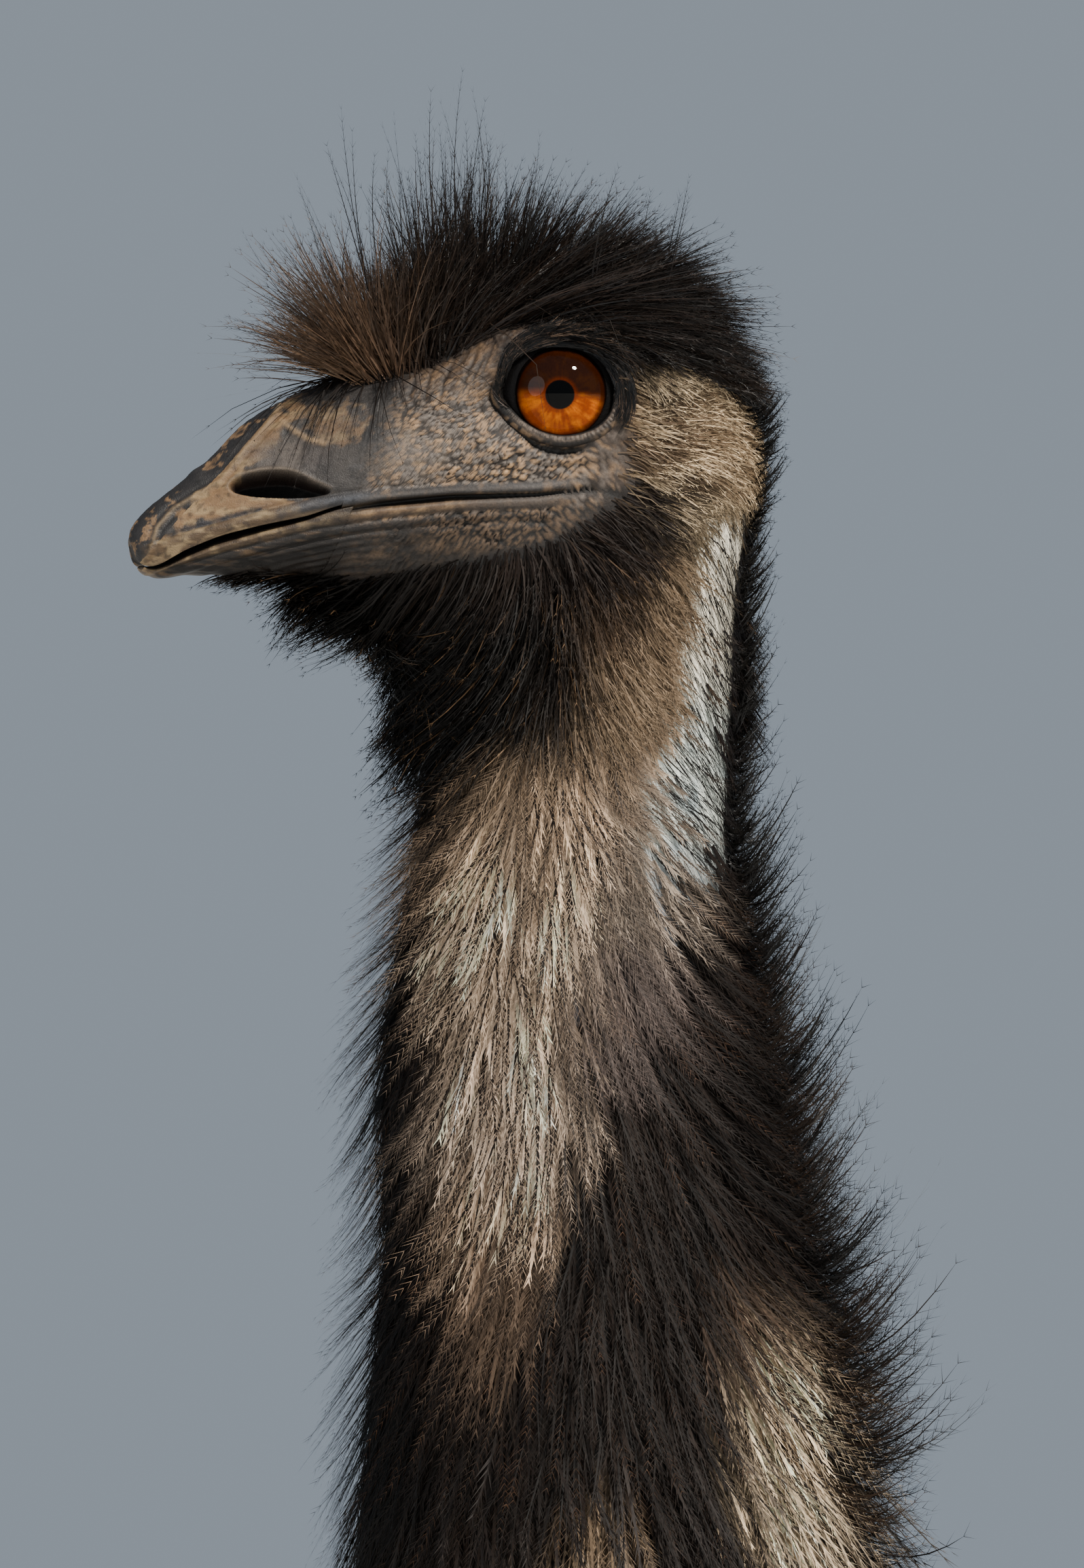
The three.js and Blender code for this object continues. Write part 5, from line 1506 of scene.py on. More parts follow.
def head_coat():
    crest = Coat()
    # strands over the crown
    def crest_weight(P, t, a):
        px, py = picture(P)
        top = step(math.radians(92), math.radians(104), np.minimum(a, 2 * math.pi - a))
        return crest_share(px, py) * top * step(7.55, 7.9, t) * (1 - 0.35 * step(12.5, 14.5, t)) * (1 + 1.2 * step(10.0, 8.4, t))
    n = 8600
    t, a = scatter(n, 7.6, 15.3, math.radians(90), math.radians(270), crest_weight)
    p, pt, pa, nn = frame_at(t, a)
    D, L = lie_at(p)
    px, py = picture(p)
    mid, tag = centres(p, 4.2, 301)
    mid2, tag2 = centres(p, 9.0, 311)
    aside = np.abs(nn[:, 0])
    D = D + np.stack([0.66 * nn[:, 0] * (1 - 0.6 * step(0.62, 0.95, aside)) + 0.5 * ((tag2 * 3.7) % 1 - 0.5) + 0.4 * ((tag * 5.3) % 1 - 0.5) + 0.16 * rng.normal(size=n), np.zeros(n), np.zeros(n)], -1)
    D = D + (mid - p) / np.maximum(L, 6)[:, None] * 0.8
    D = D + 0.26 * (np.stack([tag, (tag * 7.3) % 1, (tag * 13.7) % 1], -1) - 0.5) + 0.2 * (np.stack([tag2, (tag2 * 7.3) % 1, (tag2 * 13.7) % 1], -1) - 0.5)
    D = D + 0.16 * rng.normal(size=(n, 3))
    D = unit(D)
    # strands never start into the head
    dn = np.sum(D * nn, -1)
    need = 0.16 + 0.1 * rng.random(n)
    D = unit(D + nn * np.maximum(need - dn, 0)[:, None])
    L = L * (0.62 + 0.5 * rng.random(n) ** 0.8) * (0.86 + 0.25 * tag2) * (1 + 0.42 * np.exp(-(((aside - 0.5) / 0.24) ** 2)) * step(560, 700, px) - 0.16 * np.exp(-((aside / 0.2) ** 2)) * step(600, 760, px) - 0.2 * step(0.8, 0.98, aside))
    B = 0.5 * (rng.random((n, 3)) - 0.5) + np.array([0, 0.28, -0.12])
    B = B - nn * 0.12 + np.stack([0.16 * nn[:, 0] + 0.2 * D[:, 0] - 0.55 * nn[:, 0] * step(0.6, 0.95, aside), np.zeros(n), -0.16 * np.abs(D[:, 0])], -1)
    P, N = springs(p + skin_offset(t, a) + nn * -0.4, D, B, nn, L, 5)
    brown = step(640, 560, px) * step(430, 520, py) * 0.8
    c0 = mix(srgb(14, 11, 10), srgb(108, 84, 66), np.clip(brown + 0.12 * rng.random(n), 0, 1))
    c1 = mix(srgb(9, 8, 8), srgb(44, 33, 26), rng.random(n) ** 2.5)
    c1 = mix(c1, srgb(92, 73, 58), step(700, 560, px) * step(440, 530, py) * 0.75 * rng.random(n) ** 1.5)
    tan = step(560, 500, px) * step(520, 590, py)
    c0 = mix(c0, srgb(140, 112, 84), tan * 0.7)
    crest.add(P, N, 0.36 + 0.24 * rng.random(n), rng.random(n) * math.pi, (vary(c0, n, 0.3), vary(c1, n, 0.35)), unwrap(t, a), taper=0.6,
              barbs=5, barb=3.4, barb_angle=0.45, barb_width=0.26, barb_from=0.25, barb_to=0.97)
    crest.make("coat_crest", PLUME_DARK, "plumage_dark", "crest")


PLUME_DARK = plume_material("plumage_dark", 0.42, 0.22)
PLUME_NECK = plume_material("plumage_neck", 0.6, 0.12)
PLUME_BODY = plume_material("plumage_body", 0.6, 0.16)
head_coat()


def wisps():
    """Sparse long feathers that stand out of the crest."""
    w = Coat()
    tips = [(704, 82, 0), (668, 115, 0), (634, 126, 1), (519, 150, 1), (579, 161, 0), (739, 145, 0), (796, 191, 1), (690, 140, 1), (650, 165, 0), (610, 180, 1), (720, 175, 0), (545, 200, 0), (480, 235, 1), (440, 280, 0), (395, 330, 1), (352, 405, 0), (330, 470, 1), (322, 545, 0),
            (756, 200, 0), (912, 240, 2), (961, 267, 2), (1015, 261, 2), (930, 285, 2), (860, 262, 2), (560, 175, 0), (590, 205, 0), (625, 200, 0), (665, 190, 0), (700, 190, 0), (505, 215, 0), (470, 262, 0)]
    p0, tip, ts, as_ = [], [], [], []
    gt, ga = np.meshgrid(np.linspace(7.9, 15, 260), np.linspace(math.radians(100), math.radians(180), 60), indexing="ij")
    gp = surface(gt, ga)
    gx, gy = picture(gp)
    for x, y, kind in tips:
        for k in range(3):
            side = 1.0 if rng.random() < 0.62 else -1.0
            dx = rng.normal() * 9
            root_x = x + (620 - x) * 0.30 + dx * 0.6 if kind < 2 else x - 42
            root_y = 432 + rng.random() * 40 if x > 520 else 480 + (520 - x) * 0.35
            i = np.argmin((gx - root_x) ** 2 + (gy - root_y) ** 2)
            q = gp.reshape(-1, 3)[i] * np.array([side, 1, 1])
            short = 1 if k == 0 else 0.72 + 0.22 * rng.random()
            # the tip stays in the plane of the root, turned a little outwards
            tx = q[0] * 1.5 + rng.normal() * 7.0
            yy = ((x + dx * (k > 0) - 830) / PX - abs(tx) * SIN) / COS
            zz = 1656.6 + (581 - y) / PX
            e = np.array([tx, yy, zz])
            p0.append(q)
            tip.append(q + (e - q) * short)
            ts.append(gt.reshape(-1)[i])
            as_.append(ga.reshape(-1)[i] if side > 0 else 2 * math.pi - ga.reshape(-1)[i])
    p0, tip = np.array(p0), np.array(tip)
    n = len(p0)
    v = tip - p0
    L = np.linalg.norm(v, axis=1)
    D = v / L[:, None]
    B = 0.34 * rng.normal(size=(n, 3))
    B = B - D * np.sum(B * D, -1)[:, None]
    D = unit(D - 0.5 * B)
    N = unit(np.cross(D, rng.normal(size=(n, 3))))
    P, N = springs(p0, D, B, N, L, 9)
    c = np.broadcast_to(srgb(24, 20, 19), (n, 3))
    w.add(P, N, np.full(n, 0.5), np.zeros(n), (vary(c, n, 0.2), vary(c * 1.4, n, 0.2)), unwrap(np.array(ts), np.array(as_)), taper=0.7,
          barbs=16, barb=3.6, barb_angle=0.45, barb_width=0.17, barb_from=0.35, barb_to=0.97)
    w.make("coat_wisps", PLUME_DARK, "plumage_dark")


wisps()


def face_coat():
    """Short fine strands over the brow, cheek, ear and chin, lying flat and streaming back."""
    face, throat = Coat(), Coat()

    def weight(P, t, a):
        px, py = picture(P)
        u, v, h = eye_plane(P)
        lid = to_loop(u, v, LID_LIST)
        w = (1 - crest_share(px, py) * 0.75) * (1 - bare(px, py)) * (lid > np.where(v > 2, 0.9, 1.8))
        w = w * (1 - step(640, 590, px) * step(-6, 4, py - crest_edge(px)))
        w = w * (1 - step(throat_edge(px) - 6, throat_edge(px) + 10, py))
        w = w * step(470, 520, px + 0.4 * (py - 560))
        w = w * (1 - 0.96 * step(470, 482, py) * step(570, 552, py) * step(600, 640, px) * step(800, 770, px - 0.25 * (py - 500)))
        near_lid = np.exp(-((lid / 8.0) ** 2))
        return w * (1 + 0.8 * near_lid + 3.2 * near_lid * step(0, 5, v) + 2.2 * step(30, 12, np.abs(py - np.interp(px, [780, 860, 930, 980], [500, 512, 530, 556]))) * step(775, 800, px) * step(990, 950, px)) * (1 - 0.97 * bare_neck(P))

    n = 13500
    t, a = scatter(n, 7.9, 18.9, 0.2, 2 * math.pi - 0.2, weight, 300, 340)
    p, pt, pa, nn = frame_at(t, a)
    D, L = lie_at(p)
    px, py = picture(p)
    u, v, h = eye_plane(p)
    lid = to_loop(u, v, LID_LIST)
    mid, tag = centres(p, 3.4, 401)
    D = D + (mid - p) / np.maximum(L, 6)[:, None] * 0.55 + 0.2 * rng.normal(size=(n, 3))
    # beside the eye the strands turn away from the ball
    away = np.stack([np.zeros(n), u, v], -1)
    D = D + unit(away) * (np.exp(-((np.maximum(lid, 0) / 4.5) ** 2)) * (0.22 + 0.7 * step(5, -3, v)))[:, None]
    D = D - nn * np.sum(D * nn, -1)[:, None]
    L = L * (0.6 + 0.6 * rng.random(n)) * (1 - 0.35 * np.exp(-((np.maximum(lid, 0) / 6.0) ** 2)))
    ends, _ = trails(t, a, D, L * 0.9, 3, lambda s: np.zeros(n))
    L = L * (1 - 0.7 * np.maximum(bare_neck(ends[-1]), bare_neck(ends[2])))
    stand = 0.06 + 0.16 * rng.random(n) + 0.16 * step(1060, 1110, px)
    brow = step(60, 10, np.abs(py - np.interp(px, [660, 700, 760, 820, 880, 930, 970], [545, 512, 488, 484, 500, 530, 570]))) * step(650, 700, px) * step(990, 940, px)
    stand = stand + 0.12 * brow
    over = 1.6 * np.exp(-((np.maximum(lid, 0) / 3.6) ** 2)) * step(-2, 3, v)
    P, N = trails(t, a, D, L, 4, lambda s: stand * L * s**1.2 + over, turn=0.3 * (rng.random(n) - 0.5), low=0.15)
    # keep off the ball where the strands cross it
    c = coat_colour(p)
    over_eye = np.maximum(brow, np.exp(-((np.maximum(lid, 0) / 6.0) ** 2)) * step(-2, 4, v))
    c = mix(c, srgb(10, 8, 8), over_eye * 0.95)
    # painted highlight: some of the black strands over and beside the eye get lighter brown tips standing in for glints
    c = mix(c, srgb(96, 78, 64), over_eye * step(0.62, 1.0, rng.random(n)) * 0.75)
    gold = step(0.36, 0.8, 0.5 * rng.random(n) + 0.5 * tag) * step(890, 970, px) * step(790, 700, py)
    c0 = mix(c * 0.7, srgb(184, 154, 118), gold * 0.7)
    c1 = mix(c * 0.5, srgb(238, 212, 174), gold * 0.85)
    middle = spine(p) * step(13.0, 14.5, t)
    c0, c1 = mix(c0, srgb(12, 10, 9), middle), mix(c1, srgb(12, 10, 9), middle)
    face.add(P, N, 0.34 + 0.2 * rng.random(n), (rng.random(n) - 0.5) * 1.6, (vary(c0, n, 0.3), vary(c1, n, 0.35)), unwrap(t, a), taper=0.6,
             barbs=2, barb=1.9, barb_angle=0.4, barb_width=0.36, barb_from=0.2, barb_to=0.85)
    face.make("coat_face", PLUME_NECK, "plumage_neck")

    def weight2(P, t, a):
        px, py = picture(P)
        w = step(throat_edge(px) - 8, throat_edge(px) + 8, py) * (1 - bare(px, py))
        chin = step(5.2, 6.4, t)
        low = step(math.radians(62), math.radians(48), np.minimum(a, 2 * math.pi - a))
        w = w * np.where(t < 8.0, low * chin, 1.0)
        return w * (1 - 0.97 * bare_neck(P)) * step(1075, 1040, py)

    n = 9500
    t, a = scatter(n, 5.0, 20.2, 0, 2 * math.pi, weight2, 300, 300)
    p, pt, pa, nn = frame_at(t, a)
    D, L = lie_at(p)
    px, py = picture(p)
    mid, tag = centres(p, 5.5, 411)
    D = D + (mid - p) / np.maximum(L, 6)[:, None] * 0.7 + 0.15 * rng.normal(size=(n, 3))
    D = D - nn * np.sum(D * nn, -1)[:, None]
    L = L * (0.65 + 0.55 * rng.random(n))
    ends, _ = trails(t, a, D, L * 0.9, 3, lambda s: np.zeros(n))
    L = L * (1 - 0.7 * np.maximum(bare_neck(ends[-1]), bare_neck(ends[2])))
    out = coat_depth(t, a)
    under = np.clip(-nn[:, 2], 0, 1) + step(0.2, 0.9, -nn[:, 1])
    tip = np.minimum(out * (0.25 + 0.9 * rng.random(n)), L * 0.75) + under * L * 0.12 * rng.random(n)
    P, N = trails(t, a, D, L, 5, lambda s: tip * s**1.15, turn=0.35 * (rng.random(n) - 0.5), low=0.1)
    P[:, :, 2] -= (np.linspace(0, 1, 6) ** 2)[:, None] * (L * 0.18 * under)[None]
    c = coat_colour(p)
    glint = step(0.9, 1.0, rng.random(n))
    # painted shade: the throat feathers just under the jaw are darkened
    c = c * (1 - 0.42 * step(880, 960, py) * step(900, 760, px))[:, None]
    throat.add(P, N, 0.45 + 0.25 * rng.random(n), (rng.random(n) - 0.5) * 2.0, (vary(c, n, 0.3), vary(mix(c * 0.75, srgb(120, 92, 64), glint * 0.5), n, 0.3)), unwrap(t, a), taper=0.6,
               barbs=3, barb=3.2, barb_angle=0.38, barb_width=0.44, barb_from=0.15, barb_to=0.92)
    throat.make("coat_throat", PLUME_NECK, "plumage_neck")




def neck_coat():
    for side, name in ((1, "left"), (-1, "right")):
        coat = Coat()
        lo, hi = (0.0, math.radians(160)) if side > 0 else (math.radians(200), 2 * math.pi)

        def weight(P, t, a):
            px, py = picture(P)
            w = step(985, 1040, py) / (10.0 + 10.0 * step(1150, 2300, py))
            return w * (1 - 0.96 * bare_neck(P))

        def laid(n, seed):
            t, a = scatter(n, 16.5, 28.6, lo, hi, weight, 300, 240)
            p, pt, pa, nn = frame_at(t, a)
            D, L = lie_at(p)
            mid, tag = centres(p, 8.0, seed)
            D = D + (mid - p) / 34.0 + 0.11 * rng.normal(size=(n, 3))
            D = D - nn * np.sum(D * nn, -1)[:, None]
            L = L * (0.8 + 0.4 * rng.random(n))
            # the feathers beside the naked patch stay short enough to leave it open
            far = surface(t + 0.0, a)
            tipP, _ = trails(t, a, D, L * 0.9, 3, lambda s: np.zeros(n))
            L = L * (1 - 0.62 * np.maximum(bare_neck(tipP[-1]), bare_neck(tipP[2]))) * (1 - 0.45 * step(26.6, 28.6, t))
            return t, a, p, nn, D, L, tag

        # painted light and shade: long bands of brighter and darker feathers, as light and shadow fall between clumps
        def clump_light_and_shade(p):
            q = fbm(p * np.array([1.0, 1.0, 0.4]), 5.0, 441, 2)
            return (0.58 + 0.84 * step(0.3, 0.7, q))[:, None]

        # soft pale down under the outer feathers
        n = 3100
        t, a, p, nn, D, L, tag = laid(n, 421)
        out = coat_depth(t, a)
        tip = np.minimum(out * 0.34 * (0.4 + 0.6 * rng.random(n)), L * 0.2)
        P, N = trails(t, a, D, L * 0.8, 3, lambda s: tip * s, low=0.2)
        c = coat_colour(p)
        c = vary(np.clip(c * (1 + 0.5 * step(0.06, 0.3, c.mean(-1))[:, None]) * clump_light_and_shade(p), 0, 0.9), n, 0.2)
        coat.add(P, N, 1.3 + 0.5 * rng.random(n), (rng.random(n) - 0.5) * 0.5, (c * 0.7, c), unwrap(t, a), taper=0.5,
                 barbs=6, barb=5.6, barb_angle=0.26, barb_width=1.36, barb_from=0.08, barb_to=0.93, barb_shape=0.4)
        # outer feathers, each with a dark shaft and fine barbs in a herringbone
        n = 2500
        t, a, p, nn, D, L, tag = laid(n, 425)
        out = coat_depth(t, a)
        tip = np.minimum(out * (0.5 + 0.65 * rng.random(n)), L * (0.38 + 0.3 * rng.random(n)))
        ahead = step(0.45, 0.95, -nn[:, 1])
        tip = tip + L * 0.12 * ahead * rng.random(n)
        tip = tip + ahead * np.interp(t, [17, 20, 23, 25, 27, 28.6], [1.0, 1.6, 2.4, 3, 3, 1]) * (0.35 + 0.85 * rng.random(n))
        tip = tip * (1 - 0.5 * step(27.2, 28.6, t))
        P, N = trails(t, a, D, L, 5, lambda s: tip * s**1.25, turn=0.22 * (rng.random(n) - 0.5), low=0.6)
        c = coat_colour(p) * clump_light_and_shade(p)
        light = step(0.04, 0.3, c.mean(-1))
        shaft = mix(c * 0.4, srgb(24, 18, 15), light)
        barb0 = mix(np.clip(c * 1.15, 0, 0.9), srgb(110, 90, 72), light * 0.3)
        barb1 = mix(c * 0.7, srgb(48, 37, 30), light * (0.5 + 0.4 * step(0.4, 0.8, tag)))
        # brown glints where the sun goes through
        glint = step(0.8, 1.0, rng.random(n))
        barb1 = mix(barb1, srgb(112, 78, 52), glint * 0.4)
        coat.add(P, N, 0.6 + 0.25 * rng.random(n), (rng.random(n) - 0.5) * 0.5, (shaft, vary(shaft * 0.8, n, 0.2)), unwrap(t, a), taper=0.7,
                 barbs=13, barb=5.2, barb_angle=0.5, barb_width=0.235, barb_lift=0.02, barb_from=0.06, barb_to=0.98, barb_colours=(vary(barb0, n, 0.25), vary(barb1, n, 0.25)), barb_shape=0.6)
        coat.make("coat_neck_" + name, PLUME_NECK, "plumage_neck")


def neck_hairs():
    """Sparse black hairs over the naked patches of the neck."""
    coat = Coat()
    for lo, hi in ((math.radians(60), math.radians(168)), (math.radians(192), math.radians(300))):
        n = 620
        t, a = scatter(n, 15.0, 25.5, lo, hi, lambda P, t, a: bare_neck(P) * 1.0 + 0.0, 240, 140)
        p, pt, pa, nn = frame_at(t, a)
        D, L = lie_at(p)
        D = D + 0.14 * rng.normal(size=(n, 3))
        D = D - nn * np.sum(D * nn, -1)[:, None]
        L = (8 + 7 * rng.random(n))
        tip = L * (0.12 + 0.2 * rng.random(n))
        P, N = trails(t, a, D, L, 4, lambda s: tip * s, turn=0.5 * (rng.random(n) - 0.5), low=0.1)
        c = np.broadcast_to(srgb(22, 18, 17), (n, 3))
        coat.add(P, N, 0.26 + 0.1 * rng.random(n), (rng.random(n) - 0.5) * 1.0, (c, c * 0.8), unwrap(t, a), taper=0.6,
                 barbs=5, barb=2.4, barb_angle=0.5, barb_width=0.14, barb_from=0.15, barb_to=0.9)
    coat.make("coat_neck_hairs", PLUME_DARK, "plumage_dark")


def nape_coat():
    nape = Coat()

    def weight(P, t, a):
        d = np.abs(np.degrees(a) - 180)
        wide = np.interp(t, [13, 16, 20, 24, 29], [50, 32, 32, 38, 40])
        return step(wide, wide * 0.75, d) * step(13.6, 14.6, t) * step(29.4, 26.6, t) * np.interp(t, [13.6, 17, 20, 24, 29], [1.6, 1.3, 1.0, 0.8, 0.62])

    n = 4300
    t, a = scatter(n, 13.5, 29.3, math.radians(125), math.radians(235), weight, 320, 120)
    p, pt, pa, nn = frame_at(t, a)
    L = np.interp(t, [13.5, 16, 19, 21, 23, 25, 27, 29.3], [8, 12, 15, 20, 27, 37, 50, 66]) * (0.6 + 0.5 * rng.random(n))
    mid, tag = centres(p, 8.5, 431)
    tag2 = (tag * 7.31) % 1
    down = unit(pt)
    away = np.interp(t, [13.5, 15, 17, 20, 24, 29.3], [0.22, 0.3, 0.42, 0.4, 0.34, 0.25])
    away = away * (0.5 + 0.8 * rng.random(n)) * (1 - 0.75 * step(25.8, 28.5, t))
    D = unit(down + nn * away[:, None] + np.stack([0.3 * nn[:, 0], np.zeros(n), np.zeros(n)], -1) + 0.10 * rng.normal(size=(n, 3)) + (mid - p) / np.maximum(L, 14)[:, None] * 0.72 + 0.3 * np.stack([tag - 0.5, np.zeros(n), tag2 - 0.5], -1))
    curl = np.interp(t, [13.5, 15, 16.5, 19, 24, 26, 28, 29.3], [0.1, 0.8, 1.45, 1.6, 1.45, 1.1, 0.5, 0.2]) * (0.65 + 0.5 * rng.random(n) + 0.3 * (tag2 - 0.5))
    B = nn * (curl * 0.3)[:, None] + np.stack([0.2 * rng.normal(size=n), 0.0 * curl, 1.75 * curl], -1)
    P, N = springs(p - nn * 0.3, D, B, nn, L, 8)
    N = unit(N + 0.7 * rng.normal(size=(1, n, 3)))
    c = np.broadcast_to(srgb(12, 10, 9), (n, 3))
    brown = step(0.5, 0.9, tag) * step(20, 26, t)
    c = mix(c, srgb(70, 54, 43), brown * 0.55)
    nape.add(P, N, 0.6 + 0.3 * rng.random(n), (rng.random(n) - 0.5) * 1.0, (vary(c, n, 0.3), vary(c * 0.9, n, 0.3)), unwrap(t, a), taper=0.55,
             barbs=9, barb=np.clip(L * 0.19, 2.2, 7.5), barb_angle=0.62, barb_width=0.26, barb_from=0.15, barb_to=0.97)
    nape.make("coat_nape", PLUME_DARK, "plumage_dark")


def lid_coat():
    """Short black strands that lie along the upper lid and over its edge."""
    coat = Coat()
    m = 720
    loop = round_loop([tuple(q) for q in LID[::2]], m)
    d = np.roll(loop, -1, 0) - np.roll(loop, 1, 0)
    out = unit(np.stack([d[:, 1], -d[:, 0]], -1))
    if np.sum(out * loop) < 0:
        out = -out
    rim_h = eye_height(np.hypot(loop[:, 0], loop[:, 1]))
    per = np.linalg.norm(np.diff(loop, axis=0), axis=1).mean()
    reach = np.array([0, 0.4, 0.95, 1.6, 2.35, 3.1, 3.5, 9.0])
    lift = np.array([0.4, 1.1, 1.5, 1.65, 1.5, 1.1, 1.0, 1.0])
    places, where = P_head.reshape(-1, 3), np.stack([T_head.ravel(), A_head.ravel()], -1)
    close = (np.abs(places[:, 0]) > 8) & (np.linalg.norm(np.abs(places) * [1, 0, 0] + places * [0, 1, 1] - EYE, axis=1) < 30)
    places, where = places[close], where[close]
    for side in (1.0, -1.0):
        n = 1100
        i0 = (rng.random(n) * 0.56 - 0.06) * m
        e0 = 0.1 + (0.7 + 3.9 * step(0.03, 0.17, i0 / m)) * rng.random(n) ** 0.9
        L = (5.0 + 4.5 * rng.random(n)) * (0.75 + 0.25 * step(0, 2, e0))
        drift = 0.05 + 0.30 * rng.random(n)
        stand = 0.5 * rng.random(n) + 0.35
        segs, P = 4, []
        for k in range(segs + 1):
            s = k / segs
            i = i0 + L * s / per
            j = np.floor(i).astype(int) % m
            f = (i - np.floor(i))[:, None]
            at_loop = loop[j] * (1 - f) + loop[(j + 1) % m] * f
            o = unit(out[j] * (1 - f) + out[(j + 1) % m] * f)
            e = e0 + L * s * drift
            q2 = at_loop + o * e[:, None]
            h = rim_h[j] + np.interp(e, reach, lift) + 0.12 + stand * s
            P.append(EYE + np.stack([q2[:, 0] * SIN, q2[:, 0] * COS, q2[:, 1]], -1) + h[:, None] * LOOK)
        P = np.array(P) * np.array([side, 1, 1])
        N = np.broadcast_to((LOOK * np.array([side, 1, 1]))[None, None], P.shape)
        near = np.array([np.argmin(np.sum((places * [side, 1, 1] - q) ** 2, -1)) if True else 0 for q in P[0][:, :]])
        c = np.broadcast_to(srgb(9, 8, 8), (n, 3))
        tipc = mix(c, srgb(84, 68, 56), step(0.66, 1.0, rng.random(n)) * 0.8)
        coat.add(P, N, 0.36 + 0.2 * rng.random(n), (rng.random(n) - 0.5) * 1.2, (c, tipc), unwrap(where[near, 0], np.where(side > 0, 1, -1) * where[near, 1] % (2 * math.pi)), taper=0.6,
                 barbs=2, barb=1.6, barb_angle=0.4, barb_width=0.3, barb_from=0.3, barb_to=0.8)
    coat.make("coat_lids", PLUME_DARK, "plumage_dark")


face_coat()
lid_coat()
neck_coat()
neck_hairs()
nape_coat()


# ------------------------------------------------------------------ legs, feet and wing stubs
LEG_SPREAD = 94.0
FEET = {1: -36.7 - FORE_AFT, -1: 9.3 - FORE_AFT}
TOE = {
    "middle": (134.0, 2.0, 16.5, 29.0, 27.0),
    "inner": (92.0, -27.0, 13.5, 24.0, 22.0),
    "outer": (94.0, 31.0, 13.5, 24.0, 21.0),
}


def shank_rows(side):
    x, fy = LEG_SPREAD, FEET[side]
    hy = fy + 60
    return np.array([
        (x + 7, hy - 8, 492, 21, 25), (x + 6, hy, 450, 24, 30), (x + 5, hy - 1, 408, 19.5, 25), (x + 4, hy - 10, 352, 15.5, 20), (x + 3, hy - 26, 262, 14, 18),
        (x + 2, hy - 42, 172, 14, 17.5), (x + 1, hy - 54, 98, 16.5, 19), (x, fy + 1, 48, 21.5, 23), (x, fy + 2, 20, 22, 24), (x, fy + 3, 0, 18, 20)], float)


def drum_rows(side):
    x, fy = LEG_SPREAD, FEET[side]
    hy = fy + 60
    top = 9.3 - FORE_AFT - (16.1 if side > 0 else 0) - 66
    return np.array([
        (118, top, 806, 62, 96), (120, top + 10, 738, 66, 100), (118, top + 28, 672, 60, 90), (113, (top + hy) / 2 - 6, 612, 50, 71), (108, (top + 2 * hy) / 3 - 4, 560, 40, 54),
        (104, hy - 14, 512, 32, 41), (x + 7, hy - 4, 470, 27, 33.5)], float)


def by_height(rows, z):
    """A limb's centre and half-widths at a height, carried smoothly through its rows."""
    t = np.interp(-z, -rows[:, 2], np.arange(len(rows)))
    return through(rows, t)


def limb_point(side, z, phi, inset=0.0):
    """A point of the leg at a height and an angle round it (0 is the front), on the drumstick above and the shank below."""
    z = np.asarray(z, float)
    d, s = by_height(drum_rows(side), np.clip(z, 470, 806)), by_height(shank_rows(side), np.clip(z, 0, 492))
    w = step(470, 520, z)
    v = s + (d - s) * w[..., None]
    rx, ry = v[..., 3] - inset * w, v[..., 4] - inset * w
    return np.stack([side * (v[..., 0] + rx * np.sin(phi)), v[..., 1] - ry * np.cos(phi), z], -1)


def close_ends(P, C):
    """A tube's grid with its first and last ring drawn to their middles."""
    first, last = P[0].mean(0), P[-1].mean(0)
    P = np.concatenate([np.broadcast_to(first, (1,) + P.shape[1:]), P, np.broadcast_to(last, (1,) + P.shape[1:])])
    C = np.concatenate([C[:1], C, C[-1:]])
    return P, C


def add_limb(P, C, flip):
    rows, cols = P.shape[:2]
    LIMB_SKIN.append((P.reshape(-1, 3), C.reshape(-1, 3), grid(rows, cols, closed=True, flip=flip)))


def scale_colour(n, crease, edge, dust):
    base = mix(srgb(56, 49, 45), srgb(84, 74, 66), n)
    base = mix(base, srgb(112, 99, 84), edge * 0.3)
    base = mix(base, srgb(128, 107, 82), dust * 0.4)
    return mix(base, srgb(24, 20, 18), crease * 0.85)


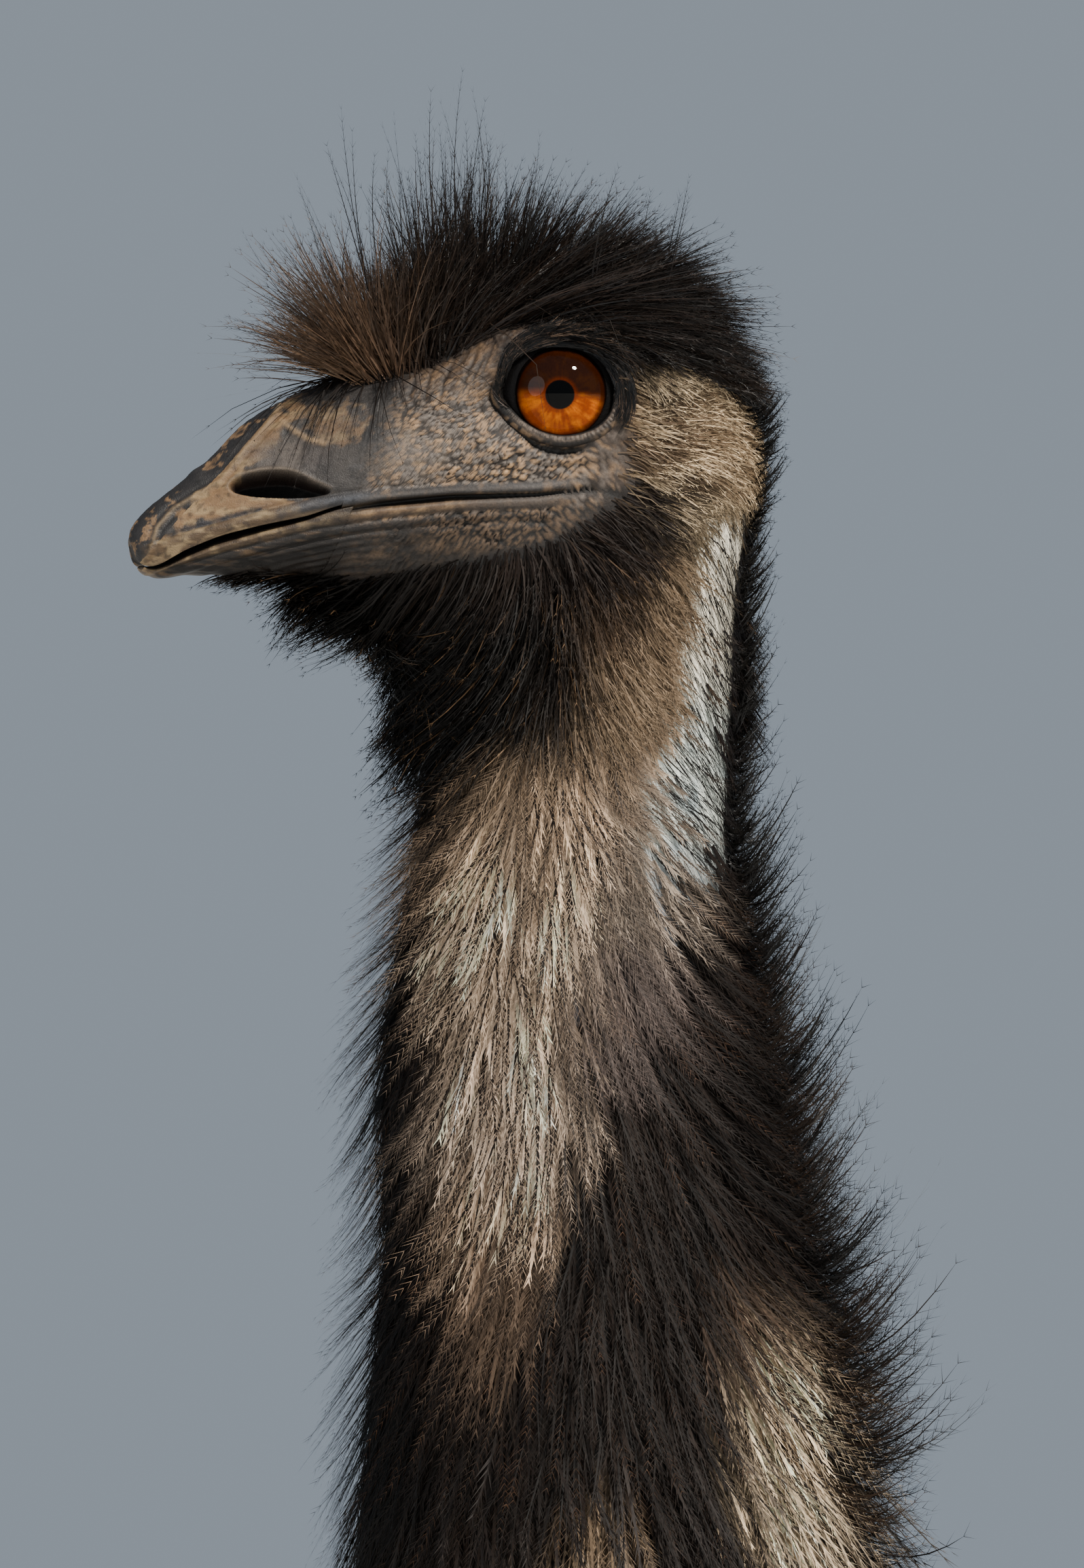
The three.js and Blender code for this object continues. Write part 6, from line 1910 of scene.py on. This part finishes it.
def make_shank(side):
    rows, cols = 180, 72
    z = np.concatenate([np.linspace(500, 1.6, rows - 3), [0.7, 0.25, 0.0]])
    phi = np.linspace(0, 2 * math.pi, cols, endpoint=False)
    Z, F = np.meshgrid(z, phi, indexing="ij")
    P = limb_point(side, Z, F, 7.0)
    da = np.roll(P, -1, 1) - np.roll(P, 1, 1)
    N = unit(np.cross(np.gradient(P, axis=0), da))
    mid = P.mean(1, keepdims=True)
    if np.sum(N * (P - mid)) < 0:
        N = -N
    r = np.linalg.norm(P[..., :2] - mid[..., :2], axis=-1)
    wrap = np.where(F > math.pi, F - 2 * math.pi, F)
    flat = np.stack([wrap * r, Z, np.zeros_like(Z)], -1)
    front = step(0.95, 0.6, np.abs(wrap)) * step(400, 330, Z)
    f1, f2, tag = cells(flat * np.array([1.0, 0.86, 1.0]) + 50, 4.4, 501)
    hexes = step(0.03, 0.22, f2 - f1)
    wob = 1.6 * (noise(flat, 14.0, 511) - 0.5) + 2.0 * (wrap / 0.9) ** 2
    ph = ((Z + wob) / 8.6) % 1.0
    scute = step(0.0, 0.14, ph) * step(1.0, 0.9, ph)
    split = 1 - np.exp(-((wrap / 0.035) ** 2)) * 0
    band = scute * split
    height = 0.42 * hexes * (1 - front) + (0.62 * band * (0.7 + 0.3 * np.cos(wrap * 1.5))) * front
    # creases at the ankle and knee
    height = height + 0.5 * (fbm(P, 9.0, 521, 2) - 0.5)
    height = height - 0.35 * np.exp(-(((Z - 444) % 7.0 - 3.5) / 0.9) ** 2) * np.exp(-(((Z - 446) / 26) ** 2))
    height = height * step(0, 3.0, Z) * step(500, 485, Z)
    Q = P + N * (height - 0.45 * step(0, 3.0, Z))[..., None]
    Q[..., 2] = np.maximum(Q[..., 2], 0)
    crease = (1 - hexes) * (1 - front) + (1 - band) * front
    n = fbm(P, 6.0, 531, 3)
    dust = step(0.5, 0.75, fbm(P, 22.0, 541, 3)) * step(300, 60, Z) + step(70, 10, Z) * 0.5
    C = scale_colour(step(0.3, 0.7, n * 0.6 + tag * 0.4), crease, step(0.25, 0.5, f1) * (1 - front), dust)
    Q, C = close_ends(Q, C)
    add_limb(Q, C, flip=side < 0)


def make_drum(side):
    rows, cols = 44, 48
    z = np.linspace(846, 476, rows)
    phi = np.linspace(0, 2 * math.pi, cols, endpoint=False)
    Z, F = np.meshgrid(z, phi, indexing="ij")
    inset = 9 * step(480, 600, Z) + 2 + 26 * step(760, 846, Z)
    P = limb_point(side, np.minimum(Z, 806), F, 0.0)
    c = P.mean(1, keepdims=True)
    d = P - c
    P = c + d * (1 - inset / np.maximum(np.linalg.norm(d, axis=-1), 1))[..., None]
    P[..., 2] = Z
    C = coat_colour(P) * 0.6
    P, C = close_ends(P, C)
    add_limb(P, C, flip=side < 0)


def toe_surface(side, spec, u, a):
    length, turn, width, high, claw = spec
    turn = math.radians(turn) * side
    ahead = np.array([math.sin(turn), -math.cos(turn), 0])
    across = np.array([-ahead[1], ahead[0], 0])
    pads = 1 + 0.055 * np.sin(u * math.pi * (6 if length > 120 else 4) + 0.6)
    uu = np.maximum(u, 0)
    end = np.sqrt(np.clip((1.0 - u) / 0.05, 0, 1)) * 0.45 + 0.55
    w = width * (1 - 0.36 * uu * uu) * pads * end
    h = high * (1 - 0.52 * uu**0.85) * (1 + 0.6 * (pads - 1)) * (0.25 + 0.75 * end)
    z = np.maximum(0, h * 0.42 + h * 0.58 * power(np.sin(a), 0.9))
    root = np.array([side * LEG_SPREAD, FEET[side], 0])
    P = root + ahead * (length * u)[..., None] + across * (w * power(np.cos(a), 0.9))[..., None]
    P[..., 2] = z
    return P


def make_toe(side, spec):
    length = spec[0]
    rows, cols = int(length / 1.7), 44
    u = np.linspace(-0.02, 1.0, rows)
    a = np.linspace(0, 2 * math.pi, cols, endpoint=False)
    U, A = np.meshgrid(u, a, indexing="ij")
    P = toe_surface(side, spec, U, A)
    da = np.roll(P, -1, 1) - np.roll(P, 1, 1)
    N = np.cross(np.gradient(P, axis=0), da)
    N = N / np.maximum(np.linalg.norm(N, axis=-1, keepdims=True), 1e-6)
    if np.sum(N * (P - P.mean(1, keepdims=True))) < 0:
        N = -N
    top = np.abs(np.arctan2(np.cos(A), np.sin(A)))  # 0 on top, half a turn underneath
    along = U * length
    flat = np.stack([np.cos(A) * 15, along, np.sin(A) * 15], -1)
    upper = step(1.15, 0.75, top)
    ph = ((along + 1.5 * np.cos(A) ** 2) / 5.6) % 1.0
    band = step(0.0, 0.16, ph) * step(1.0, 0.9, ph)
    f1, f2, tag = cells(flat + 90, 3.2, 601)
    hexes = step(0.03, 0.22, f2 - f1)
    height = 0.55 * band * upper + 0.3 * hexes * (1 - upper)
    height = height * step(0.2, 2.0, P[..., 2]) - 0.3
    Q = P + N * height[..., None]
    Q[..., 2] = np.where(P[..., 2] <= 0.001, 0.0, np.maximum(Q[..., 2], 0.0))
    crease = (1 - band) * upper + (1 - hexes) * (1 - upper)
    n = fbm(P, 5.0, 611, 3)
    dust = step(0.4, 0.7, fbm(P, 12.0, 621, 3)) * 0.8
    C = scale_colour(step(0.3, 0.7, n), crease, step(0.25, 0.5, f1) * (1 - upper), dust)
    Q, C = close_ends(Q, C)
    add_limb(Q, C, flip=side > 0)


def make_claw(side, key, spec):
    length, turn, width, high, claw = spec
    turn = math.radians(turn) * side
    ahead = np.array([math.sin(turn), -math.cos(turn), 0])
    across = np.array([-ahead[1], ahead[0], 0])
    rows, cols = 40, 36
    u = np.linspace(0, 1, rows)
    a = np.linspace(0, 2 * math.pi, cols, endpoint=False)
    U, A = np.meshgrid(u, a, indexing="ij")
    w = width * 0.5 * (1 - U) ** 0.72 + 0.5
    h = high * 0.42 * (1 - U) ** 0.8 + 0.9
    sole = 1.2 + 2.0 * (1 - U)
    root = np.array([side * LEG_SPREAD, FEET[side], 0])
    P = root + ahead * (length + 0.45 + claw * U)[..., None] + across * (w * np.cos(A) * (1 - 0.25 * np.clip(-np.sin(A), 0, 1)))[..., None]
    P[..., 2] = sole + h * 0.5 * (1 + np.sin(A)) + 0.8 * np.sin(math.pi * U) * np.clip(np.sin(A), 0, 1)
    P[..., 2] += 0.16 * (noise(np.stack([U * 2, A * 5, A * 0], -1), 1.0, 631) - 0.5)
    n = fbm(P * np.array([1.0, 0.4, 1.0]), 2.5, 641, 3)
    C = mix(srgb(34, 30, 28), srgb(72, 62, 52), step(0.45, 0.75, n))
    C = mix(C, srgb(120, 100, 74), step(0.55, 0.8, fbm(P, 4.0, 651, 2)) * 0.5)
    P, C = close_ends(P, C)
    name = "%s_%s" % (key, "left" if side > 0 else "right")
    rows, cols = P.shape[:2]
    ob = new_object("claw_horn_" + name, P.reshape(-1, 3), grid(rows, cols, closed=True), colours=C.reshape(-1, 3))
    outward(ob)
    finish_piece(ob, CLAW, "claw_horn", "claw_" + name)


def make_wing(side):
    rows, cols = 28, 32
    la = np.linspace(0.04, math.pi - 0.04, rows)
    lo = np.linspace(0, 2 * math.pi, cols, endpoint=False)
    A, B = np.meshgrid(la, lo, indexing="ij")
    q = np.stack([8 * np.sin(A) * np.cos(B), 92 * np.cos(A), 23 * np.sin(A) * np.sin(B)], -1)
    rx, rz = math.radians(26), math.radians(-side * 15)
    M = np.array(Matrix.Rotation(rz, 3, "Z") @ Matrix.Rotation(rx, 3, "X"))
    P = q @ M.T + np.array([side * 147.0, 190.0, 946.0])
    C = coat_colour(P) * 0.6
    P, C = close_ends(P, C)
    add_limb(P, C, flip=True)


for side in (1, -1):
    make_shank(side)
    make_drum(side)
    make_wing(side)
    for key, spec in TOE.items():
        make_toe(side, spec)
        make_claw(side, key, spec)


# ------------------------------------------------------------------ plumes of the body and thighs
def body_lie(p, nn, t, a):
    """Backwards along the body and down its sides, parted along the back, and down the breast."""
    sx = np.sign(np.sin(a))
    back = step(28.5, 32.5, t)
    up = np.clip(nn[:, 2], 0, 1)
    D = np.stack([0.30 * sx * up, 0.18 + 0.95 * back, -1.0 + 0.25 * back], -1)
    tail = step(37.5, 40.5, t)
    D = D + tail[:, None] * np.array([0, -0.35, -1.0])
    breast = step(0.2, 0.8, -nn[:, 1]) * step(34, 31, t)
    D = D + breast[:, None] * np.array([0, 0.1, -0.9])
    belly = step(0.3, 0.9, -nn[:, 2])
    D = D + belly[:, None] * np.array([0, 0.8, 0])
    D = D - nn * np.sum(D * nn, -1)[:, None]
    return unit(D)


def body_coat():
    for side, name in ((1, "left"), (-1, "right")):
        for t0, t1, n, label in ((26.4, 33.6, 2900, "front"), (33.6, 41.9, 3000, "rear")):
            coat = Coat()
            lo, hi = (0.0, math.pi) if side > 0 else (math.pi, 2 * math.pi)

            def weight(P, t, a):
                belly = step(0.55, 0.2, np.minimum(a, 2 * math.pi - a))
                dense = np.interp(t, [26.4, 28, 30, 33, 36, 39, 40.5, 42], [1.6, 2.3, 1.6, 1.1, 1.0, 1.2, 2.4, 3.0])
                return dense * (1 - 0.55 * belly)

            t, a = scatter(n, t0, t1, lo, hi, weight, 240, 160)
            p, pt, pa, nn = frame_at(t, a)
            D = body_lie(p, nn, t, a)
            hood = step(28.6, 27.6, t)
            mid, tag = centres(p, 34.0, 701)
            D = D + (mid - p) / 260.0 + 0.1 * rng.normal(size=(n, 3))
            D = unit(D - nn * np.sum(D * nn, -1)[:, None])
            L = np.interp(t, [26.4, 28, 29.5, 31, 33, 35, 38, 40, 41.9], [42, 56, 80, 110, 150, 168, 158, 120, 84]) * (0.72 + 0.4 * rng.random(n))
            breast = step(0.2, 0.8, -nn[:, 1]) * step(35, 32, t)
            L = L * (1 - 0.35 * breast) * (1 - 0.3 * step(0.5, 0.9, -nn[:, 2]))
            out = coat_depth(t, a)
            tip = out * (0.5 + 0.62 * rng.random(n))
            stub = 26 * np.exp(-(((p[:, 1] - 190) / 105) ** 2 + ((p[:, 2] - 950) / 62) ** 2)) * (np.abs(p[:, 0]) > 90)
            tip = tip + stub * 0.5
            P, N = trails(t, a, D, L, 8, lambda s: tip * s**1.1 + stub * (1 - s) * min(1.0, s * 4), turn=0.3 * (rng.random(n) - 0.5), low=0.5)
            # past the rump the plumes leave the body and hang
            free = step(36.0, 38.6, t)
            if free.max() > 0:
                up = np.clip(nn[:, 2], 0, 1)
                way = unit(D + 0.32 * nn + 0.22 * rng.normal(size=(n, 3)) + free[:, None] * np.stack([0.25 * nn[:, 0], 0.12 * np.ones(n), -0.35 * np.ones(n)], -1) + step(40.2, 41.4, t)[:, None] * np.array([0, 0.3, -1.1]))
                bend = np.stack([0.15 * nn[:, 0] + 0.12 * rng.normal(size=n), -0.30 - 0.2 * up, -0.35 - 0.75 * (1 - up)], -1)
                P2, _ = springs(p, way, bend, nn, L, 8)
                P = P * (1 - free)[None, :, None] + P2 * free[None, :, None]
            # the tips droop
            P[:, :, 2] -= (np.linspace(0, 1, 9) ** 2)[:, None] * (L * 0.07)[None]
            P[:, :, 1] = 830 - 11 * np.log1p(np.exp(np.clip((830 - P[:, :, 1]) / 11, -30, 30))) * (P[:, :, 1] > 680) - np.where(P[:, :, 1] > 680, 0, 830 - P[:, :, 1])
            c = coat_colour(p)
            old = rng.random(n)
            c = vary(c, n, 0.2)
            shaft = mix(c * 0.5, c * 1.25, step(0.6, 0.9, old))
            tipc = mix(c * 0.62, srgb(36, 30, 27), step(0.35, 0.8, rng.random(n))) 
            coat.add(P, N, np.interp(L, [40, 120], [0.9, 1.6]) + 0.5 * rng.random(n), (rng.random(n) - 0.5) * 0.7, (shaft, tipc), unwrap(t, a), taper=0.6,
                     barbs=11, barb=np.clip(L * 0.17, 7.0, 27.0), barb_angle=0.3, barb_width=np.clip(L * 0.0285, 1.2, 4.1), barb_lift=0.05, barb_from=0.05, barb_to=0.97, barb_colours=(c, tipc), barb_shape=0.45)
            coat.make("coat_%s_%s" % (label, name), PLUME_BODY, "plumage_body")


def leg_coat():
    coat = Coat()
    for side in (1, -1):
        n = 1500
        u = (np.arange(n) + rng.random(n)) / n
        z = 816 - 312 * u**1.12
        phi = (np.arange(n) * 2.399963 + 0.3 * rng.random(n)) % (2 * math.pi)
        L = np.interp(z, [500, 540, 620, 700, 816], [26, 40, 60, 78, 96]) * (0.6 + 0.6 * rng.random(n))
        tip = np.interp(z, [480, 560, 816], [3.5, 6.0, 11.0]) * (0.6 + 0.7 * rng.random(n))
        drift = 0.16 * rng.normal(size=n)
        segs = 6
        P = []
        for k in range(segs + 1):
            s = k / segs
            zz = np.maximum(z - L * s, 440)
            q = limb_point(side, np.minimum(zz, 806), phi + drift * s, 9.0 if side else 0)
            q[:, 2] = zz
            cz = limb_point(side, np.minimum(zz, 806), phi + math.pi, 9.0)
            out = unit(np.stack([q[:, 0] - cz[:, 0], q[:, 1] - cz[:, 1], np.zeros(n)], -1))
            P.append(q + out * (0.4 + tip * s + 6.0 * step(480, 600, zz) * s)[:, None])
        P = np.array(P)
        N = np.broadcast_to(unit(np.stack([side * np.sin(phi), -np.cos(phi), np.full(n, 0.15)], -1))[None], P.shape)
        c = mix(srgb(84, 70, 58), srgb(52, 43, 37), step(0.3, 0.8, rng.random(n)))
        c = mix(c, srgb(108, 92, 76), step(600, 520, z) * 0.6)
        place = np.stack([0.25 + 0.5 * (side > 0) + 0.22 * (phi / (2 * math.pi)) - 0.11, u], -1)
        coat.add(P, N, 1.1 + 0.4 * rng.random(n), (rng.random(n) - 0.5) * 0.8, (vary(c, n, 0.2), vary(c * (0.6 + 0.3 * step(600, 520, z))[:, None], n, 0.2)), place, taper=0.7,
                 barbs=9, barb=13.0, barb_angle=0.34, barb_width=2.1, barb_from=0.05, barb_to=0.97, barb_shape=0.5)
    coat.make("coat_thighs", PLUME_BODY, "plumage_body")


def wing_coat():
    """Plumes over the small wings, hanging back from them."""
    coat = Coat()
    for side in (1, -1):
        n = 420
        A = np.arccos(1 - 1.7 * (np.arange(n) + rng.random(n)) / n)
        B = (np.arange(n) * 2.399963) % (2 * math.pi)
        B = np.where(np.cos(B) < -0.2, math.pi - B, B)
        q = np.stack([8 * np.sin(A) * np.cos(B), 92 * np.cos(A), 23 * np.sin(A) * np.sin(B)], -1)
        g = np.stack([q[:, 0] / 64, q[:, 1] / 8464, q[:, 2] / 529], -1)
        rx, rz = math.radians(26), math.radians(-side * 15)
        M = np.array(Matrix.Rotation(rz, 3, "Z") @ Matrix.Rotation(rx, 3, "X"))
        if side < 0:
            q[:, 0] *= -1
            g[:, 0] *= -1
        p = q @ M.T + np.array([side * 147.0, 190.0, 946.0])
        nn = unit(g @ M.T)
        D = np.array([0.0, 0.95, -0.5]) + 0.1 * rng.normal(size=(n, 3)) + 0.08 * nn
        D[:, 2] -= 0.35 * np.clip(-nn[:, 2], 0, 1)
        D = unit(D - nn * np.minimum(np.sum(D * nn, -1) - 0.06, 0)[:, None])
        L = np.interp(q[:, 1], [-92, 0, 92], [120, 128, 110]) * (0.7 + 0.45 * rng.random(n))
        bend = np.stack([-0.12 * side + 0.08 * rng.normal(size=n), 0.0 * L, -0.3 - 0.2 * rng.random(n)], -1)
        P, N = springs(p, D, bend, nn, L, 8)
        over = np.maximum(np.abs(P[..., 0]) - 196, 0)
        P[..., 0] -= np.sign(P[..., 0]) * over * 0.75
        P[..., 0] = np.clip(P[..., 0], -212, 212)
        c = vary(coat_colour(p), n, 0.2)
        tipc = mix(c * 0.62, srgb(36, 30, 27), step(0.35, 0.8, rng.random(n)))
        place = np.stack([0.25 + 0.5 * (side > 0) + 0.08 * q[:, 2] / 23, 0.5 + 0.3 * q[:, 1] / 92], -1)
        coat.add(P, N, 1.3 + 0.5 * rng.random(n), (rng.random(n) - 0.5) * 0.7, (c * 0.6, tipc), place, taper=0.6,
                 barbs=11, barb=21.0, barb_angle=0.3, barb_width=3.2, barb_lift=0.05, barb_from=0.05, barb_to=0.97, barb_colours=(c, tipc), barb_shape=0.45)
    coat.make("coat_wings", PLUME_BODY, "plumage_body")


body_coat()
wing_coat()
leg_coat()


skin = build_skin()
finish_piece(skin, SKIN, "leg_scales", "head", "neck_upper", "neck_middle", "neck_lower", "trunk", "tail", "wing_left", "wing_right", "leg_left", "leg_right",
             "shank_left", "shank_right", *["toe_%s_%s" % (k, s) for k in TOE for s in ("left", "right")])


# ------------------------------------------------------------------ camera, light and floor
def make_camera():
    data = bpy.data.cameras.new("camera")
    cam = bpy.data.objects.new("camera", data)
    bpy.context.scene.collection.objects.link(cam)
    bpy.context.scene.camera = cam
    data.sensor_width = 36.0
    data.lens = FAR * PX / 2309.0 * 36.0
    aim = np.array([-32 / PX * SIN, -32 / PX * COS + FORE_AFT, 1656.6 + (581 - 1154.5) / PX])
    eye = aim + FAR * LOOK
    eye[2] = EYE_LINE
    # the aim keeps its height in the picture though the camera stands lower
    cam.location = Vector(eye * 0.001)
    d = Vector((aim - eye) * 0.001)
    cam.rotation_mode = "QUATERNION"
    cam.rotation_quaternion = d.to_track_quat("-Z", "Y")
    data.clip_start, data.clip_end = 0.05, 200.0
    return cam


def lamp(kind, name, energy, place, target, size=1.0, colour=(1, 1, 1)):
    data = bpy.data.lights.new(name, kind)
    data.energy = energy
    data.color = colour
    if kind == "SUN":
        data.angle = size
    else:
        data.shape = "DISK"
        data.size = size
    ob = bpy.data.objects.new(name, data)
    bpy.context.scene.collection.objects.link(ob)
    ob.location = place
    ob.rotation_mode = "QUATERNION"
    ob.rotation_quaternion = (Vector(target) - Vector(place)).to_track_quat("-Z", "Y")
    return ob


make_camera()
lamp("SUN", "key", 6.6, (6.04, 2.4, 7.6 + 1.4), (0, 0, 1.4), math.radians(7), (1.0, 0.955, 0.88))
lamp("AREA", "fill", 60.0, (1.5, -4.5, 2.6), (0, -0.2, 1.3), 3.0, (0.9, 0.95, 1.0))
lamp("AREA", "back", 28.0, (-4.0, 2.0, 3.2), (0, 0, 1.2), 3.0, (0.92, 0.96, 1.0))

world = bpy.data.worlds.new("studio")
bpy.context.scene.world = world
world.use_nodes = True
bg = world.node_tree.nodes["Background"]
bg.inputs[0].default_value = (0.62, 0.72, 0.84, 1)
bg.inputs[1].default_value = 0.42


def make_floor():
    n = 64
    a = np.linspace(0, 2 * math.pi, n, endpoint=False)
    p = np.stack([60000 * np.cos(a), 60000 * np.sin(a) - FORE_AFT, np.zeros(n)], -1)
    p = np.concatenate([p, [[0, -FORE_AFT, 0]]])
    f = np.stack([np.full(n, n), np.arange(n), (np.arange(n) + 1) % n], -1)
    ob = new_object("floor", p, f, smooth=False)
    m = bpy.data.materials.new("floor_pale")
    m.use_nodes = True
    nt = m.node_tree
    b = nt.nodes["Principled BSDF"]
    b.inputs["Roughness"].default_value = 0.85
    nz = noise_node(nt, 3.0, 3.0)
    colour = shade(nt, (0.62, 0.62, 0.60, 1), ranged(nt, nz.outputs[0], 0.3, 0.7, 0.96, 1.04), 1.0)
    nt.links.new(colour, b.inputs["Base Color"])
    ob.data.materials.append(m)
    return ob


make_floor()

bpy.context.view_layer.update()
